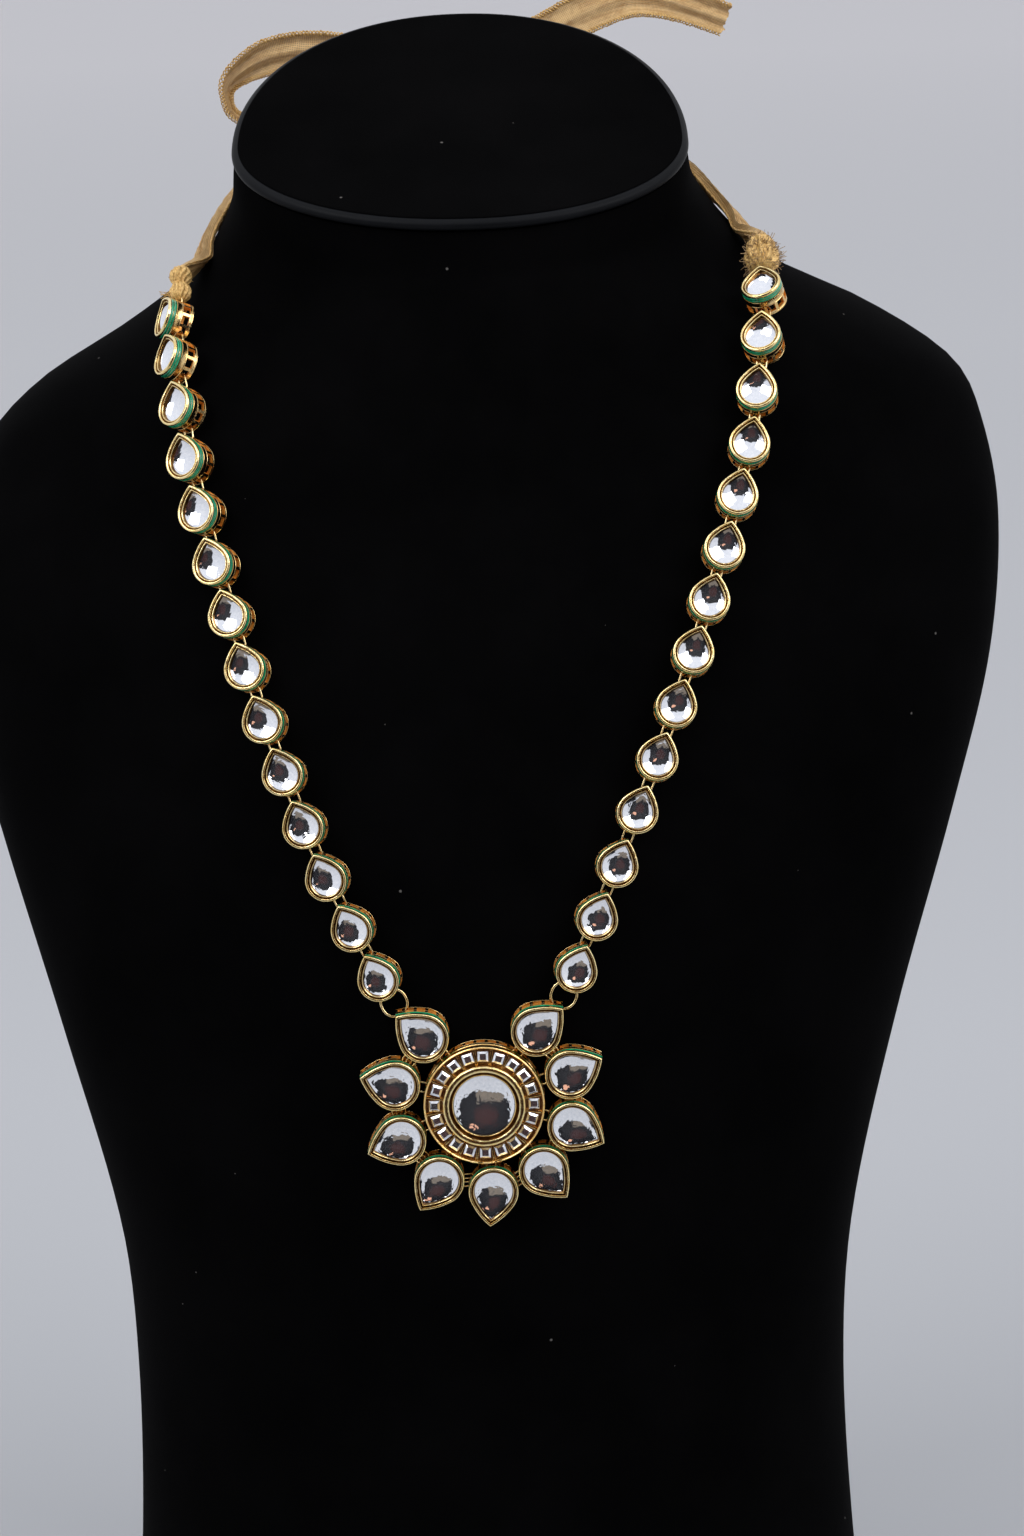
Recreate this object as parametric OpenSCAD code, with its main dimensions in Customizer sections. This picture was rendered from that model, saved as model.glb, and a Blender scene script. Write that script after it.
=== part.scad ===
// Kundan necklace on a velvet neck bust. Millimetres, +Z up, origin at the middle of the bust's
// base, front towards -Y.

/* [Neck bust] */
// Width across the shoulders
bust_w = 278; // [270:1:286]
// Height of the middle of the sloping top plate
bust_h = 427.5; // [420:0.5:432]
// Forward slope of the top plate, in degrees
neck_tilt = 24.25; // [20:0.25:28]
// Height of the rim round the top plate
rim_h = 3; // [2.4:0.2:6]

/* [Chain] */
// Pear-shaped settings on each side
links_a_side = 14; // [14:1:14]
// Distance from one setting to the next, along the chain
pitch = 13.85; // [13.75:0.05:14]
// Width of a chain setting
link_w = 10.5; // [10.3:0.1:10.6]
// Length of a chain setting
link_l = 12.6; // [12.5:0.1:12.7]
// Depth of a chain setting, back to front
link_h = 7; // [6.6:0.1:7.4]
// Wire of the small jump rings
wire_d = 0.5; // [0.4:0.05:0.5]

/* [Pendant] */
// Diameter of the round centre
disc_d = 30.4; // [30:0.1:30.8]
// Depth of the round centre, back to front
disc_h = 7.6; // [7.4:0.1:8]
// Square stones round the centre
square_stones = 20; // [18:1:21]
// Side of a square stone
square_w = 2.7; // [2.4:0.1:2.8]
// Diameter of the domed middle stone
dome_d = 15.2; // [14.8:0.1:15.4]
// Width of a petal setting
petal_w = 12.6; // [12.4:0.1:12.7]
// Length of a petal setting
petal_l = 15.4; // [15:0.1:15.6]
// Depth of a petal setting, back to front
petal_h = 7.4; // [7:0.1:8]
// Wire of the two large jump rings
big_wire_d = 0.7; // [0.6:0.05:0.7]

/* [Ribbon] */
// Thickness of the folded gauze
ribbon_t = 1; // [1:0.1:1.2]

/* [Hidden] */
$fn = 48;
function two(k) = str(k < 10 ? "0" : "", k);
LINKS = [for (k = [1:links_a_side]) k];
SIDES = [["left", -1], ["right", 1]];

// Bust sections: height, half width at the left and at the right, front, back
SECTIONS = [
  [0, 101.5, 101.5, -66, 52], [40, 98, 97.5, -65, 52], [90, 97, 95.5, -65.5, 53],
  [130, 100, 98.5, -66.5, 55], [185, 113.5, 111, -67.5, 60], [240, 128.5, 127, -65, 68],
  [280, 138.5, 137.5, -56.5, 74], [315, 137.5, 140.5, -44.5, 79], [340, 129, 136.5, -34.5, 82],
  [355, 114.5, 129, -28, 83], [370, 90, 107, -22.5, 84], [382, 74, 82, -19.5, 85],
  [395, 65.5, 69, -18, 86], [410, 61, 61, -17, 87], [427.5, 59.5, 58, -17, 87],
  [432, 58, 56.5, -17, 87]
];
RING_HEIGHTS = [
  0, 4, 20, 45, 70, 95, 115, 135, 155, 175, 195, 215, 235, 255, 270, 285, 300, 312, 324, 334,
  343, 351, 358, 364, 370, 376, 382, 388, 395, 403, 413, 427.5
];
RING_POINTS = 48;
SCALE_X = bust_w / 278;
NECK_TOP = 427.5;
SCALE_Z = bust_h / NECK_TOP;
OVAL_POWER = 2.1;
NECK_START = 372;
NECK_FORWARD = 0.28;
GAP = 0.3;

// Where the chain lies on the chest: across, height, from the pendant up to the knot
PATHS = [
  [[-25.5, 217.5], [-38, 243], [-48, 268], [-56.5, 293], [-63, 317], [-68, 339], [-70, 355],
   [-70.5, 368], [-70.5, 380], [-69.5, 388]],
  [[23.5, 218.5], [34.5, 244], [45, 268.5], [54.5, 293], [63, 317.5], [70, 340], [73.5, 356],
   [75.5, 369], [76, 381], [74, 388]]
];
// How far the settings roll outwards: setting number, degrees
ROLLS = [
  [[1, 34], [2, 31], [3, 20], [5, 12], [7, 2], [10, -4], [14, -1]],
  [[1, -40], [2, -33], [3, -23], [4, -16], [6, -10], [11, -10], [14, -3]]
];

// Levels of a setting, from its back: window, enamel groove, rim and stone seat
WINDOW_Z = 1;
WINDOW_H = 2;
RING_Z = WINDOW_Z + WINDOW_H / 2;
CAVITY_H = 3.2;
GROOVE_Z = 4.7;
GROOVE_H = 1.5;
GROOVE_D = 0.5;
RIM_T = 0.9;
BEZEL_T = 1.5;
WALL_T = 0.9;
PEAR_ANGLE = 30;
STONE_CLEAR = 0.12;
RING_R = 1.25;
POST_W = 0.9;
WINDOW_W = 2.1;
EYE_H = 1.2;
TIP_W = 0.9;
HOLD = 0.3;
RING_STEPS = 12;
WIRE_SIDES = 6;

// Petals round the centre: place, own turn, in degrees anticlockwise as seen
PETALS = [
  [54, -13], [18.5, 8], [344, -13], [309.5, 0], [274.5, -11], [239, -3], [203, -3],
  [166.5, -2], [130, 9]
];
PETAL_GAP = 1.3;
PENDANT = [-0.2, 184.8];
PENDANT_LEAN = 1;
// Straight part left in a large jump ring, which is nearly round
BIG_RING_SPARE = 0.4;

// Ribbon from each knot round the neck: ring angle, height, lift off the bust, width
RIBBON_START = [4.5, 6.5];
RIBBONS = [
  [[194, 387, 2.2, 5.5], [185, 391, 1.9, 6], [175, 395, 1.7, 6], [161, 400, 1.5, 6.5],
   [146, 404, 1.4, 7], [128, 407, 1.4, 7], [108, 409, 1.4, 6]],
  [[-8, 391, 2.4, 6.5], [1, 394.5, 2.1, 7], [10, 398, 1.8, 7], [21, 401.5, 1.6, 7],
   [36, 405, 1.4, 7], [54, 407.5, 1.4, 7], [72, 409, 1.4, 6]]
];
// The two ends that reach the bow's knot: direction from its middle, width
RIBBON_ENDS = [[[-0.85, -0.5, -0.1], 4.5], [[0.85, -0.5, -0.1], 4.5]];
// Bow behind the neck: x, y, z, width, roll of the width towards the back
BOW_LOOP = [
  [-8, 95.5, 427, 4.5, 0], [-22, 98.5, 433, 9, 10], [-38, 100, 436.5, 10, 10],
  [-53, 100, 435.5, 9.5, 15], [-63.5, 99, 430, 7, 40], [-65.5, 98, 424.5, 5, 65],
  [-62, 96.5, 419, 4.5, 65], [-48, 96, 416, 4.5, 60], [-28, 95.5, 416.5, 4.5, 40],
  [-8.2, 93.8, 421.2, 4, 10]
];
BOW_TAIL = [
  [1.9, 95.4, 426.9, 5, 0], [14, 98.5, 435.5, 8.5, 5], [26, 100, 441.5, 10, 10],
  [37, 100, 446.5, 10.5, 10], [47, 100, 449, 9.5, 15], [57, 100, 448, 9, 10],
  [65, 100, 445.5, 8.5, 0], [73, 100, 442.3, 8, 0]
];
BOW_KNOT = [-3, 94, 424];
BOW_KNOT_R = 5.6;
// Knots above the chain: direction, radii of the lower and upper lobe, reach of the lower lobe
// from the jump ring, distance between the lobes
KNOTS = [
  [[0, 0.65, 0.76], 2.9, 2.9, 5, 4.9],
  [[-0.05, 0.6, 0.8], 4.8, 3.7, 7.4, 3.2]
];

// Smooth reading of a table: the value of column c at height z
function row_of(t, z) = max([for (i = [0:len(t) - 2]) if (t[i][0] <= z || i == 0) i]);
function slope(t, i, c) =
  let (a = t[max(i - 1, 0)], b = t[min(i + 1, len(t) - 1)]) (b[c] - a[c]) / (b[0] - a[0]);
function at(t, z, c) =
  let (i = row_of(t, z), h = t[i + 1][0] - t[i][0], u = (z - t[i][0]) / h)
  (2*u*u*u - 3*u*u + 1) * t[i][c] + (u*u*u - 2*u*u + u) * h * slope(t, i, c)
  + (3*u*u - 2*u*u*u) * t[i + 1][c] + (u*u*u - u*u) * h * slope(t, i + 1, c);

// Bust surface
function half_w(z, x) = SCALE_X * at(SECTIONS, z / SCALE_Z, x < 0 ? 1 : 2);
function front_y(z) = at(SECTIONS, z / SCALE_Z, 3);
function back_y(z) = at(SECTIONS, z / SCALE_Z, 4);
function mid_y(z) = 0.35 * front_y(z) + 0.65 * back_y(z);
function neck_share(z) =
  let (u = max(0, min(1, (z / SCALE_Z - NECK_START) / (NECK_TOP - NECK_START)))) u * u * (3 - 2*u);
function shear(z) = tan(neck_tilt) * neck_share(z);
// The chest is widest towards the back, the top of the neck at its middle
function wide_y(z) = mid_y(z) - NECK_FORWARD * neck_share(z) * (back_y(z) - front_y(z));
function chest_y(x, z) =
  let (m = wide_y(z), u = min(abs(x) / half_w(z, x), 0.999))
  m + (front_y(z) - m) * pow(1 - pow(u, OVAL_POWER), 1 / OVAL_POWER);
function signed_pow(v, p) = sign(v) * pow(abs(v), p);
function ring_point(z, a) =
  let (m = wide_y(z), p = 2 / OVAL_POWER,
       y = m + (sin(a) < 0 ? m - front_y(z) : back_y(z) - m) * signed_pow(sin(a), p))
  [half_w(z, cos(a)) * signed_pow(cos(a), p), y, z + shear(z) * (y - mid_y(z))];

function unit(v) = v / norm(v);
function chest_normal(x, z) =
  unit([(chest_y(x + 1, z) - chest_y(x - 1, z)) / 2, -1, (chest_y(x, z + 1) - chest_y(x, z - 1)) / 2]);

// Smooth curve through a list of rows, each of any length
function spline(p, n) = [
  for (i = [0:len(p) - 2], k = [0:n - 1])
    let (u = k / n, a = p[max(i - 1, 0)], b = p[i], c = p[i + 1], d = p[min(i + 2, len(p) - 1)])
    b + 0.5 * (u*(c - a) + u*u*(2*a - 5*b + 4*c - d) + u*u*u*(3*b - a - 3*c + d)),
  p[len(p) - 1]
];
function lengths(p) =
  [for (i = 0, s = 0; i < len(p); s = s + (i + 1 < len(p) ? norm(p[i + 1] - p[i]) : 0), i = i + 1) s];
CHEST_PATHS = [
  for (path = PATHS)
    [for (q = spline(path, 12)) [q[0]*SCALE_X, chest_y(q[0]*SCALE_X, q[1]*SCALE_Z), q[1]*SCALE_Z]]
];
PATH_TABLES = [
  for (p = CHEST_PATHS)
    let (s = lengths(p)) [for (c = [0:2]) [for (i = [0:len(p) - 1]) [s[i], p[i][c]]]]
];
function path_at(side, s) = [for (c = [0:2]) lookup(s, PATH_TABLES[side][c])];

// A frame is its origin and its x, y and z directions
function place(f, p) = f[0] + p[0]*f[1] + p[1]*f[2] + p[2]*f[3];
function chain_frame(side, s, roll, half_width) =
  let (p = path_at(side, s), n0 = chest_normal(p[0], p[2]),
       t = unit(path_at(side, s + 1) - path_at(side, s - 1)),
       n1 = unit(n0 - (n0*t)*t), out = SIDES[side][1] * cross(t, n1),
       n = n1*cos(roll) + out*sin(roll))
  [p + n0*(GAP + half_width*sin(abs(roll))), cross(t, n), t, n];
function link_frame(side, k) =
  chain_frame(side, (links_a_side - k)*pitch, lookup(k, ROLLS[side]), link_w / 2);
function pendant_frame() =
  let (x = PENDANT[0], z = PENDANT[1] * SCALE_Z, n = [0, -cos(PENDANT_LEAN), sin(PENDANT_LEAN)])
  [[x, chest_y(x, z), z] + GAP*n, [1, 0, 0], [0, sin(PENDANT_LEAN), cos(PENDANT_LEAN)], n];
module on(f) {
  multmatrix([
    [f[1][0], f[2][0], f[3][0], f[0][0]],
    [f[1][1], f[2][1], f[3][1], f[0][1]],
    [f[1][2], f[2][2], f[3][2], f[0][2]]
  ]) children();
}

// Pear outline with its round end at the origin and its tip along +Y. A pear is its round
// radius, tip distance and flank radius, and inset moves its whole edge inwards.
function pear(w, l) =
  let (r = w / 2, t = l - r, s = sin(PEAR_ANGLE)) [r, t, (t*t + r*r - 2*t*r*s) / (2*(r - t*s))];
LINK = pear(link_w, link_l);
PETAL = pear(petal_w, petal_l);
module pear_shape(q, inset = 0) {
  c = q[2] - q[0];
  circle(q[0] - inset);
  intersection() {
    translate([-c*cos(PEAR_ANGLE), -c*sin(PEAR_ANGLE)]) circle(q[2] - inset);
    translate([c*cos(PEAR_ANGLE), -c*sin(PEAR_ANGLE)]) circle(q[2] - inset);
    translate([-q[0], (q[0] - inset)*sin(PEAR_ANGLE)]) square([2*q[0], q[1]]);
  }
}
function pear_points(q, inset) =
  let (c = q[2] - q[0], cx = c*cos(PEAR_ANGLE), cy = -c*sin(PEAR_ANGLE), big = q[2] - inset,
       top = acos(cx / big), flank = [for (i = [0:3]) PEAR_ANGLE + (top - PEAR_ANGLE)*i/4])
  concat(
    [for (f = flank) [big*cos(f) - cx, big*sin(f) + cy]],
    [[0, big*sin(top) + cy]],
    [for (i = [3:-1:0]) [cx - big*cos(flank[i]), big*sin(flank[i]) + cy]],
    [for (i = [1:8]) let (f = 180 - PEAR_ANGLE + (180 + 2*PEAR_ANGLE)*i/9)
      (q[0] - inset)*[cos(f), sin(f)]]
  );

// One pear setting. The gallery is open at the back, with two windows beside the post at its
// round end. Its tip has an eye too, which leaves a post at the very end.
module setting(q, h, post_turn = 0, eye = true) {
  difference() {
    linear_extrude(h) pear_shape(q);
    translate([0, 0, h - 1]) linear_extrude(2) pear_shape(q, RIM_T);
    translate([0, 0, h - 2]) linear_extrude(2) pear_shape(q, BEZEL_T);
    translate([0, 0, -1]) cylinder(h = CAVITY_H + 1, r = q[0] - WALL_T);
    rotate([0, 0, post_turn]) for (s = [0, 1]) mirror([s, 0, 0])
      translate([POST_W / 2, -q[0] - 1, WINDOW_Z]) cube([WINDOW_W, 3, WINDOW_H]);
    if (eye) {
      translate([-q[0], q[1] - TIP_W - EYE_H, WINDOW_Z]) cube([2*q[0], EYE_H, WINDOW_H]);
      for (s = [0, 1]) mirror([s, 0, 0])
        translate([POST_W / 2, q[1] - TIP_W - 0.1, WINDOW_Z]) cube([2, TIP_W + 0.2, WINDOW_H]);
    }
    difference() {
      translate([0, 0, GROOVE_Z]) linear_extrude(GROOVE_H) pear_shape(q, -1);
      translate([0, 0, GROOVE_Z - 1]) linear_extrude(GROOVE_H + 2) pear_shape(q, GROOVE_D);
    }
  }
}
// Enamel band in the groove of a setting
module band(q) {
  translate([0, 0, GROOVE_Z + 0.1]) linear_extrude(GROOVE_H - 0.2) difference() {
    pear_shape(q);
    pear_shape(q, GROOVE_D - 0.1);
  }
}
// Domed pear stone in the bezel of a setting
module pear_stone(q, h) {
  half = q[0] - BEZEL_T - STONE_CLEAR;
  rise = 1.1;
  r = (half*half + rise*rise) / (2*rise);
  intersection() {
    translate([0, 0, h - 1.9]) linear_extrude(2)
      polygon(pear_points(q, BEZEL_T + STONE_CLEAR));
    translate([0, (q[1] - q[0]) / 2, h - r]) rotate([90, 0, 30]) sphere(r, $fn = 128);
  }
}
// A closed tube or strip through loops of corners, each quad cut in two
function skin(rows, n, closed) = [
  for (r = [0:rows - (closed ? 1 : 2)], i = [0:n - 1])
    let (a = r*n + i, b = r*n + (i + 1)%n, c = ((r + 1)%rows)*n + (i + 1)%n, d = ((r + 1)%rows)*n + i)
    each [[a, d, c], [a, c, b]]
];
// Long jump ring round the line from a to b, in the plane whose normal is n
module jump_ring(a, b, n, r, d) {
  y = unit(b - a);
  z = unit(n - (n*y)*y);
  x = cross(y, z);
  straight = norm(b - a) - 2*r;
  corners = [
    for (i = [0:RING_STEPS - 1])
      let (half = i < RING_STEPS/2 ? 1 : -1, q = (i + (half > 0 ? 0 : -1)) * 180/(RING_STEPS/2 - 1),
           out = cos(q)*x + sin(q)*y, p = (a + b)/2 + half*straight/2*y + r*out)
      each [for (k = [0:WIRE_SIDES - 1]) let (w = (k + 0.5)*360/WIRE_SIDES)
        p + d/2*(cos(w)*out + sin(w)*z)]
  ];
  polyhedron(corners, skin(RING_STEPS, WIRE_SIDES, true));
}

// Channel that leaves room for the wire of such a ring
module ring_channel(a, b, n, r, d) {
  y = unit(b - a);
  z = unit(n - (n*y)*y);
  straight = norm(b - a) - 2*r;
  on([(a + b)/2, cross(y, z), y, z]) {
    for (s = [0, 1]) mirror([0, s, 0]) translate([0, straight/2, 0])
      rotate_extrude(angle = 180) translate([r, 0]) circle(d/2, $fn = 24);
    for (s = [-1, 1]) translate([s*r, 0, 0]) rotate([90, 0, 0])
      cylinder(h = straight, r = d/2, center = true, $fn = 24);
  }
}

// A chain setting is held at its middle, so its round end lies below the frame's origin
LINK_SHIFT = [0, LINK[0] - link_l / 2, 0];
LINK_FOOT = [0, WALL_T - link_l / 2 + HOLD + wire_d / 2, RING_Z];
LINK_TIP = [0, link_l / 2 - TIP_W - HOLD - wire_d / 2, RING_Z];
module link(side, k) {
  color("#d9b866") on(link_frame(side, k)) translate(LINK_SHIFT) setting(LINK, link_h);
}
function knot_way(side) = unit(KNOTS[side][0]);
function knot_root(side) = place(link_frame(side, 1), LINK_TIP - [0, 0.06, 0]);
function knot_end(side) = knot_root(side) + 4.6*knot_way(side);
function knot_lobe(side, upper) =
  knot_root(side) + (KNOTS[side][3] + (upper ? KNOTS[side][4] : 0))*knot_way(side);
module rings(side) {
  color("#d9b866") {
    for (k = [1:links_a_side - 1]) {
      a = link_frame(side, k);
      b = link_frame(side, k + 1);
      jump_ring(place(a, LINK_FOOT), place(b, LINK_TIP), a[3] + b[3], RING_R, wire_d);
    }
    jump_ring(knot_root(side), knot_end(side), link_frame(side, 1)[3], RING_R, wire_d);
  }
}
module stones(side) {
  color("#dfe3ea") for (k = LINKS)
    on(link_frame(side, k)) translate(LINK_SHIFT) pear_stone(LINK, link_h);
}
module enamel(side) {
  color("#0b7d4f") for (k = LINKS) on(link_frame(side, k)) translate(LINK_SHIFT) band(LINK);
}

// Petals sit round the centre disc, each with its post turned back towards the disc
PETAL_REACH = disc_d / 2 + PETAL_GAP + PETAL[0];
PEND = pendant_frame();
function turned(f, a) = [f[0], f[1]*cos(a) + f[2]*sin(a), f[2]*cos(a) - f[1]*sin(a), f[3]];
function petal_frame(k) =
  let (a = PETALS[k][0])
  turned([place(PEND, PETAL_REACH*[cos(a), sin(a), 0]), PEND[1], PEND[2], PEND[3]],
         a - 90 + PETALS[k][1]);
module petal(k) {
  eye = k == 0 || k == len(PETALS) - 1;
  color("#d9b866") on(petal_frame(k)) setting(PETAL, petal_h, -PETALS[k][1], eye);
}
module petal_stones() {
  color("#dfe3ea") for (k = [0:len(PETALS) - 1]) on(petal_frame(k)) pear_stone(PETAL, petal_h);
}
module enamel_petals() {
  color("#0b7d4f") for (k = [0:len(PETALS) - 1]) on(petal_frame(k)) band(PETAL);
}

// Round centre: a thin outer rim, a channel for the square stones and a raised collar
DISC_R = disc_d / 2;
CHANNEL_Z = disc_h - 1.6;
CHANNEL_OUT = DISC_R - 0.6;
CHANNEL_IN = DISC_R - 4.85;
COLLAR_Z = disc_h + 1.2;
SQUARE_R = (CHANNEL_IN + CHANNEL_OUT) / 2;
SEAT_R = dome_d / 2 + STONE_CLEAR;
module centre_disc() {
  profile = [
    [0, CAVITY_H], [DISC_R - 1, CAVITY_H], [DISC_R - 1, 0], [DISC_R, 0], [DISC_R, disc_h - 0.3],
    [DISC_R - 0.3, disc_h], [CHANNEL_OUT, disc_h - 0.3], [CHANNEL_OUT, CHANNEL_Z],
    [CHANNEL_IN, CHANNEL_Z], [CHANNEL_IN, COLLAR_Z - 0.5], [CHANNEL_IN - 0.5, COLLAR_Z],
    [CHANNEL_IN - 1.1, COLLAR_Z], [SEAT_R + 0.5, COLLAR_Z - 1.3], [SEAT_R, COLLAR_Z - 1.1],
    [SEAT_R, COLLAR_Z - 3.2], [0, COLLAR_Z - 3.2]
  ];
  color("#d9b866") on(PEND) difference() {
    union() {
      rotate_extrude() polygon(profile);
      for (k = [0:square_stones - 1]) rotate([0, 0, (k + 0.5)*360/square_stones])
        translate([CHANNEL_IN - 0.2, -0.35, CHANNEL_Z - 0.3])
          cube([CHANNEL_OUT - CHANNEL_IN + 0.4, 0.7, 1.3]);
    }
    for (p = PETALS) rotate([0, 0, p[0]]) for (s = [0, 1]) mirror([0, s, 0])
      translate([DISC_R - 3, POST_W / 2, WINDOW_Z]) cube([4, WINDOW_W, WINDOW_H]);
  }
}
module centre_stone() {
  rise = 2.2;
  half = dome_d / 2;
  r = (half*half + rise*rise) / (2*rise);
  color("#dfe3ea") on(PEND) intersection() {
    translate([0, 0, COLLAR_Z - 3.1]) cylinder(h = 4.5, r = half);
    translate([0, 0, COLLAR_Z + 0.6 - r]) rotate([90, 0, 0]) sphere(r, $fn = 96);
  }
}
// A square stone has a table, four bevels and four cut corners
module square_stone() {
  function cut_square(h, c, z) = [
    for (q = [[1, 0], [0, 1], [-1, 0], [0, -1]], s = [-1, 1])
      let (a = q*h, b = [-q[1], q[0]]*s*(h - c)) [a[0] + b[0], a[1] + b[1], z]
  ];
  levels = [cut_square(square_w/2, 0.25, 0), cut_square(square_w/2, 0.25, 0.6),
            cut_square(square_w/2 - 0.55, 0.15, 1.1)];
  polyhedron(
    [for (l = levels) each l],
    concat(
      [[for (i = [7:-1:0]) i], [for (i = [0:7]) 16 + i]],
      [for (l = [0, 8], i = [0:7]) [l + i, l + (i + 1)%8, l + 8 + (i + 1)%8, l + 8 + i]]
    )
  );
}
module square_stones() {
  color("#dfe3ea") on(PEND) for (k = [0:square_stones - 1])
    rotate([0, 0, k*360/square_stones]) translate([SQUARE_R, 0, CHANNEL_Z + 0.1]) square_stone();
}
module pendant_rings() {
  color("#d9b866") {
    for (k = [0:len(PETALS) - 1]) {
      f = turned(petal_frame(k), -PETALS[k][1]);
      a = place(f, [0, WALL_T + HOLD + wire_d/2 - PETAL[0], RING_Z]);
      b = place(PEND, (DISC_R - 1 - HOLD - wire_d/2)*[cos(PETALS[k][0]), sin(PETALS[k][0]), 0]
                      + [0, 0, RING_Z]);
      jump_ring(a, b, PEND[3], RING_R, wire_d);
    }
    for (side = [0, 1]) {
      f = link_frame(side, links_a_side);
      g = petal_frame(side == 0 ? len(PETALS) - 1 : 0);
      a = place(f, LINK_FOOT + [0, 0.1, 0]);
      b = place(g, [0, PETAL[1] - TIP_W - HOLD - big_wire_d/2, RING_Z]);
      jump_ring(a, b, f[3] + g[3], (norm(b - a) - BIG_RING_SPARE) / 2, big_wire_d);
    }
  }
}

// Bust: a loft through rings, then a smooth rim and a padded plate on its sloping top
module bust_form() {
  n = RING_POINTS;
  rings = [for (z = RING_HEIGHTS) [for (i = [0:n - 1]) ring_point(z*SCALE_Z, i*360/n)]];
  last = len(rings) - 1;
  color("#101012") polyhedron(
    [for (r = rings) each r],
    concat(
      [[for (i = [n - 1:-1:0]) i], [for (i = [0:n - 1]) last*n + i]],
      [for (r = [0:last - 1], i = [0:n - 1])
        [r*n + i, r*n + (i + 1)%n, (r + 1)*n + (i + 1)%n, (r + 1)*n + i]]
    )
  );
}
module plate_shape(inset) {
  z = NECK_TOP*SCALE_Z;
  n = RING_POINTS;
  polygon([
    for (i = [0:n - 1])
      let (p = ring_point(z, i*360/n), q = [p[0], (p[1] - mid_y(z)) / cos(neck_tilt)])
      q - inset*unit([q[0]/half_w(z, q[0]), q[1]/50])
  ]);
}
module on_top(h) {
  z = NECK_TOP*SCALE_Z;
  translate([0, mid_y(z), z]) rotate([neck_tilt, 0, 0]) translate([0, 0, h]) children();
}
module bust_rim() {
  color("#2b2c31") on_top(0.2) difference() {
    union() {
      linear_extrude(1) plate_shape(0.2);
      translate([0, 0, 1]) linear_extrude(rim_h - 2) plate_shape(-0.7);
      translate([0, 0, rim_h - 1]) linear_extrude(1) plate_shape(0.2);
    }
    translate([0, 0, -1]) linear_extrude(rim_h + 2) plate_shape(3);
  }
}
module bust_top() {
  color("#101012") on_top(0.2) linear_extrude(rim_h + 0.3) plate_shape(3.2);
}

// A band of folded gauze through stations, each a middle, a width direction and a width
module strip(stations) {
  n = len(stations);
  function tangent(i) = unit(stations[min(i + 1, n - 1)][0] - stations[max(i - 1, 0)][0]);
  corners = [
    for (i = [0:n - 1])
      let (t = tangent(i), w0 = stations[i][1], w = unit(w0 - (w0*t)*t), m = cross(t, w),
           a = w*stations[i][2]/2, b = m*ribbon_t/2, p = stations[i][0])
      each [p + a + b, p - a + b, p - a - b, p + a - b]
  ];
  polyhedron(
    corners,
    concat(
      [[0, 1, 2], [0, 2, 3]],
      [[n*4 - 2, n*4 - 3, n*4 - 4], [n*4 - 1, n*4 - 2, n*4 - 4]],
      skin(n, 4, false)
    )
  );
}
// Stations from the knot onto the bust, from rows of ring angle, height, lift and width
function on_bust(q) =
  let (z = q[1]*SCALE_Z, p = ring_point(z, q[0]),
       up = unit(ring_point(z + 1, q[0]) - ring_point(z - 1, q[0])),
       round = unit(ring_point(z, q[0] + 1) - ring_point(z, q[0] - 1)),
       n = unit(cross(round, up)))
  [p + n*q[2], up, q[3]];
function bow_middle() = [BOW_KNOT[0]*SCALE_X, BOW_KNOT[1], BOW_KNOT[2]*SCALE_Z];
function ribbon_stations(side) =
  let (rest = [for (q = RIBBONS[side]) on_bust(q)], lobe = knot_lobe(side, true),
       way = unit(rest[0][0] - lobe),
       start = [lobe + (KNOTS[side][2] + 0.2)*way, unit([0, -0.35, 1]), RIBBON_START[side]],
       end_way = unit(RIBBON_ENDS[side][0]),
       end = [bow_middle() + (BOW_KNOT_R + 0.3)*end_way, [0, 0, 1], RIBBON_ENDS[side][1]],
       flat = [for (q = concat([start], rest, [end])) concat(q[0], q[1], [q[2]])])
  [for (v = spline(flat, 4)) [[v[0], v[1], v[2]], [v[3], v[4], v[5]], v[6]]];
// Stations in the air behind the neck, from rows of x, y, z, width and roll
function in_air(rows) =
  let (p = spline(rows, 4), n = len(p))
  [
    for (i = [0:n - 1])
      let (a = p[max(i - 1, 0)], b = p[min(i + 1, n - 1)], t = unit([b[0] - a[0], b[2] - a[2]]),
           q = p[i])
      [[q[0]*SCALE_X, q[1], q[2]*SCALE_Z],
       [-t[1]*cos(q[4]), sin(q[4]), t[0]*cos(q[4])], q[3]]
  ];
module ribbon(side) {
  color("#b9955c") strip(ribbon_stations(side));
}
module bow_loop() {
  color("#b9955c") strip(in_air(BOW_LOOP));
}
module bow_tail() {
  color("#b9955c") strip(in_air(BOW_TAIL));
}
module bow_knot() {
  color("#a9854f") translate(bow_middle()) sphere(BOW_KNOT_R);
}
// Knot over the last jump ring, with a channel where the wire goes through it
module knot(side) {
  color("#a9854f") difference() {
    union() {
      translate(knot_lobe(side, false)) sphere(KNOTS[side][1]);
      translate(knot_lobe(side, true)) sphere(KNOTS[side][2]);
    }
    ring_channel(knot_root(side), knot_end(side), link_frame(side, 1)[3], RING_R, wire_d + 0.3);
  }
}

bust_form();
bust_rim();
bust_top();
for (side = [0, 1], k = LINKS)
  link(side, k);
rings(0);  // rings_left
rings(1);  // rings_right
stones(0);  // stones_left
stones(1);  // stones_right
enamel(0);  // enamel_left
enamel(1);  // enamel_right
knot(0);  // knot_left
knot(1);  // knot_right
ribbon(0);  // ribbon_left
ribbon(1);  // ribbon_right
centre_disc();
centre_stone();
square_stones();
for (k = [0:len(PETALS) - 1])
  petal(k);
petal_stones();
enamel_petals();
pendant_rings();
bow_knot();
bow_loop();
bow_tail();
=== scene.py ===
import math
import random

import bmesh
import bpy
from mathutils import Matrix, Vector, noise


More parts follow.
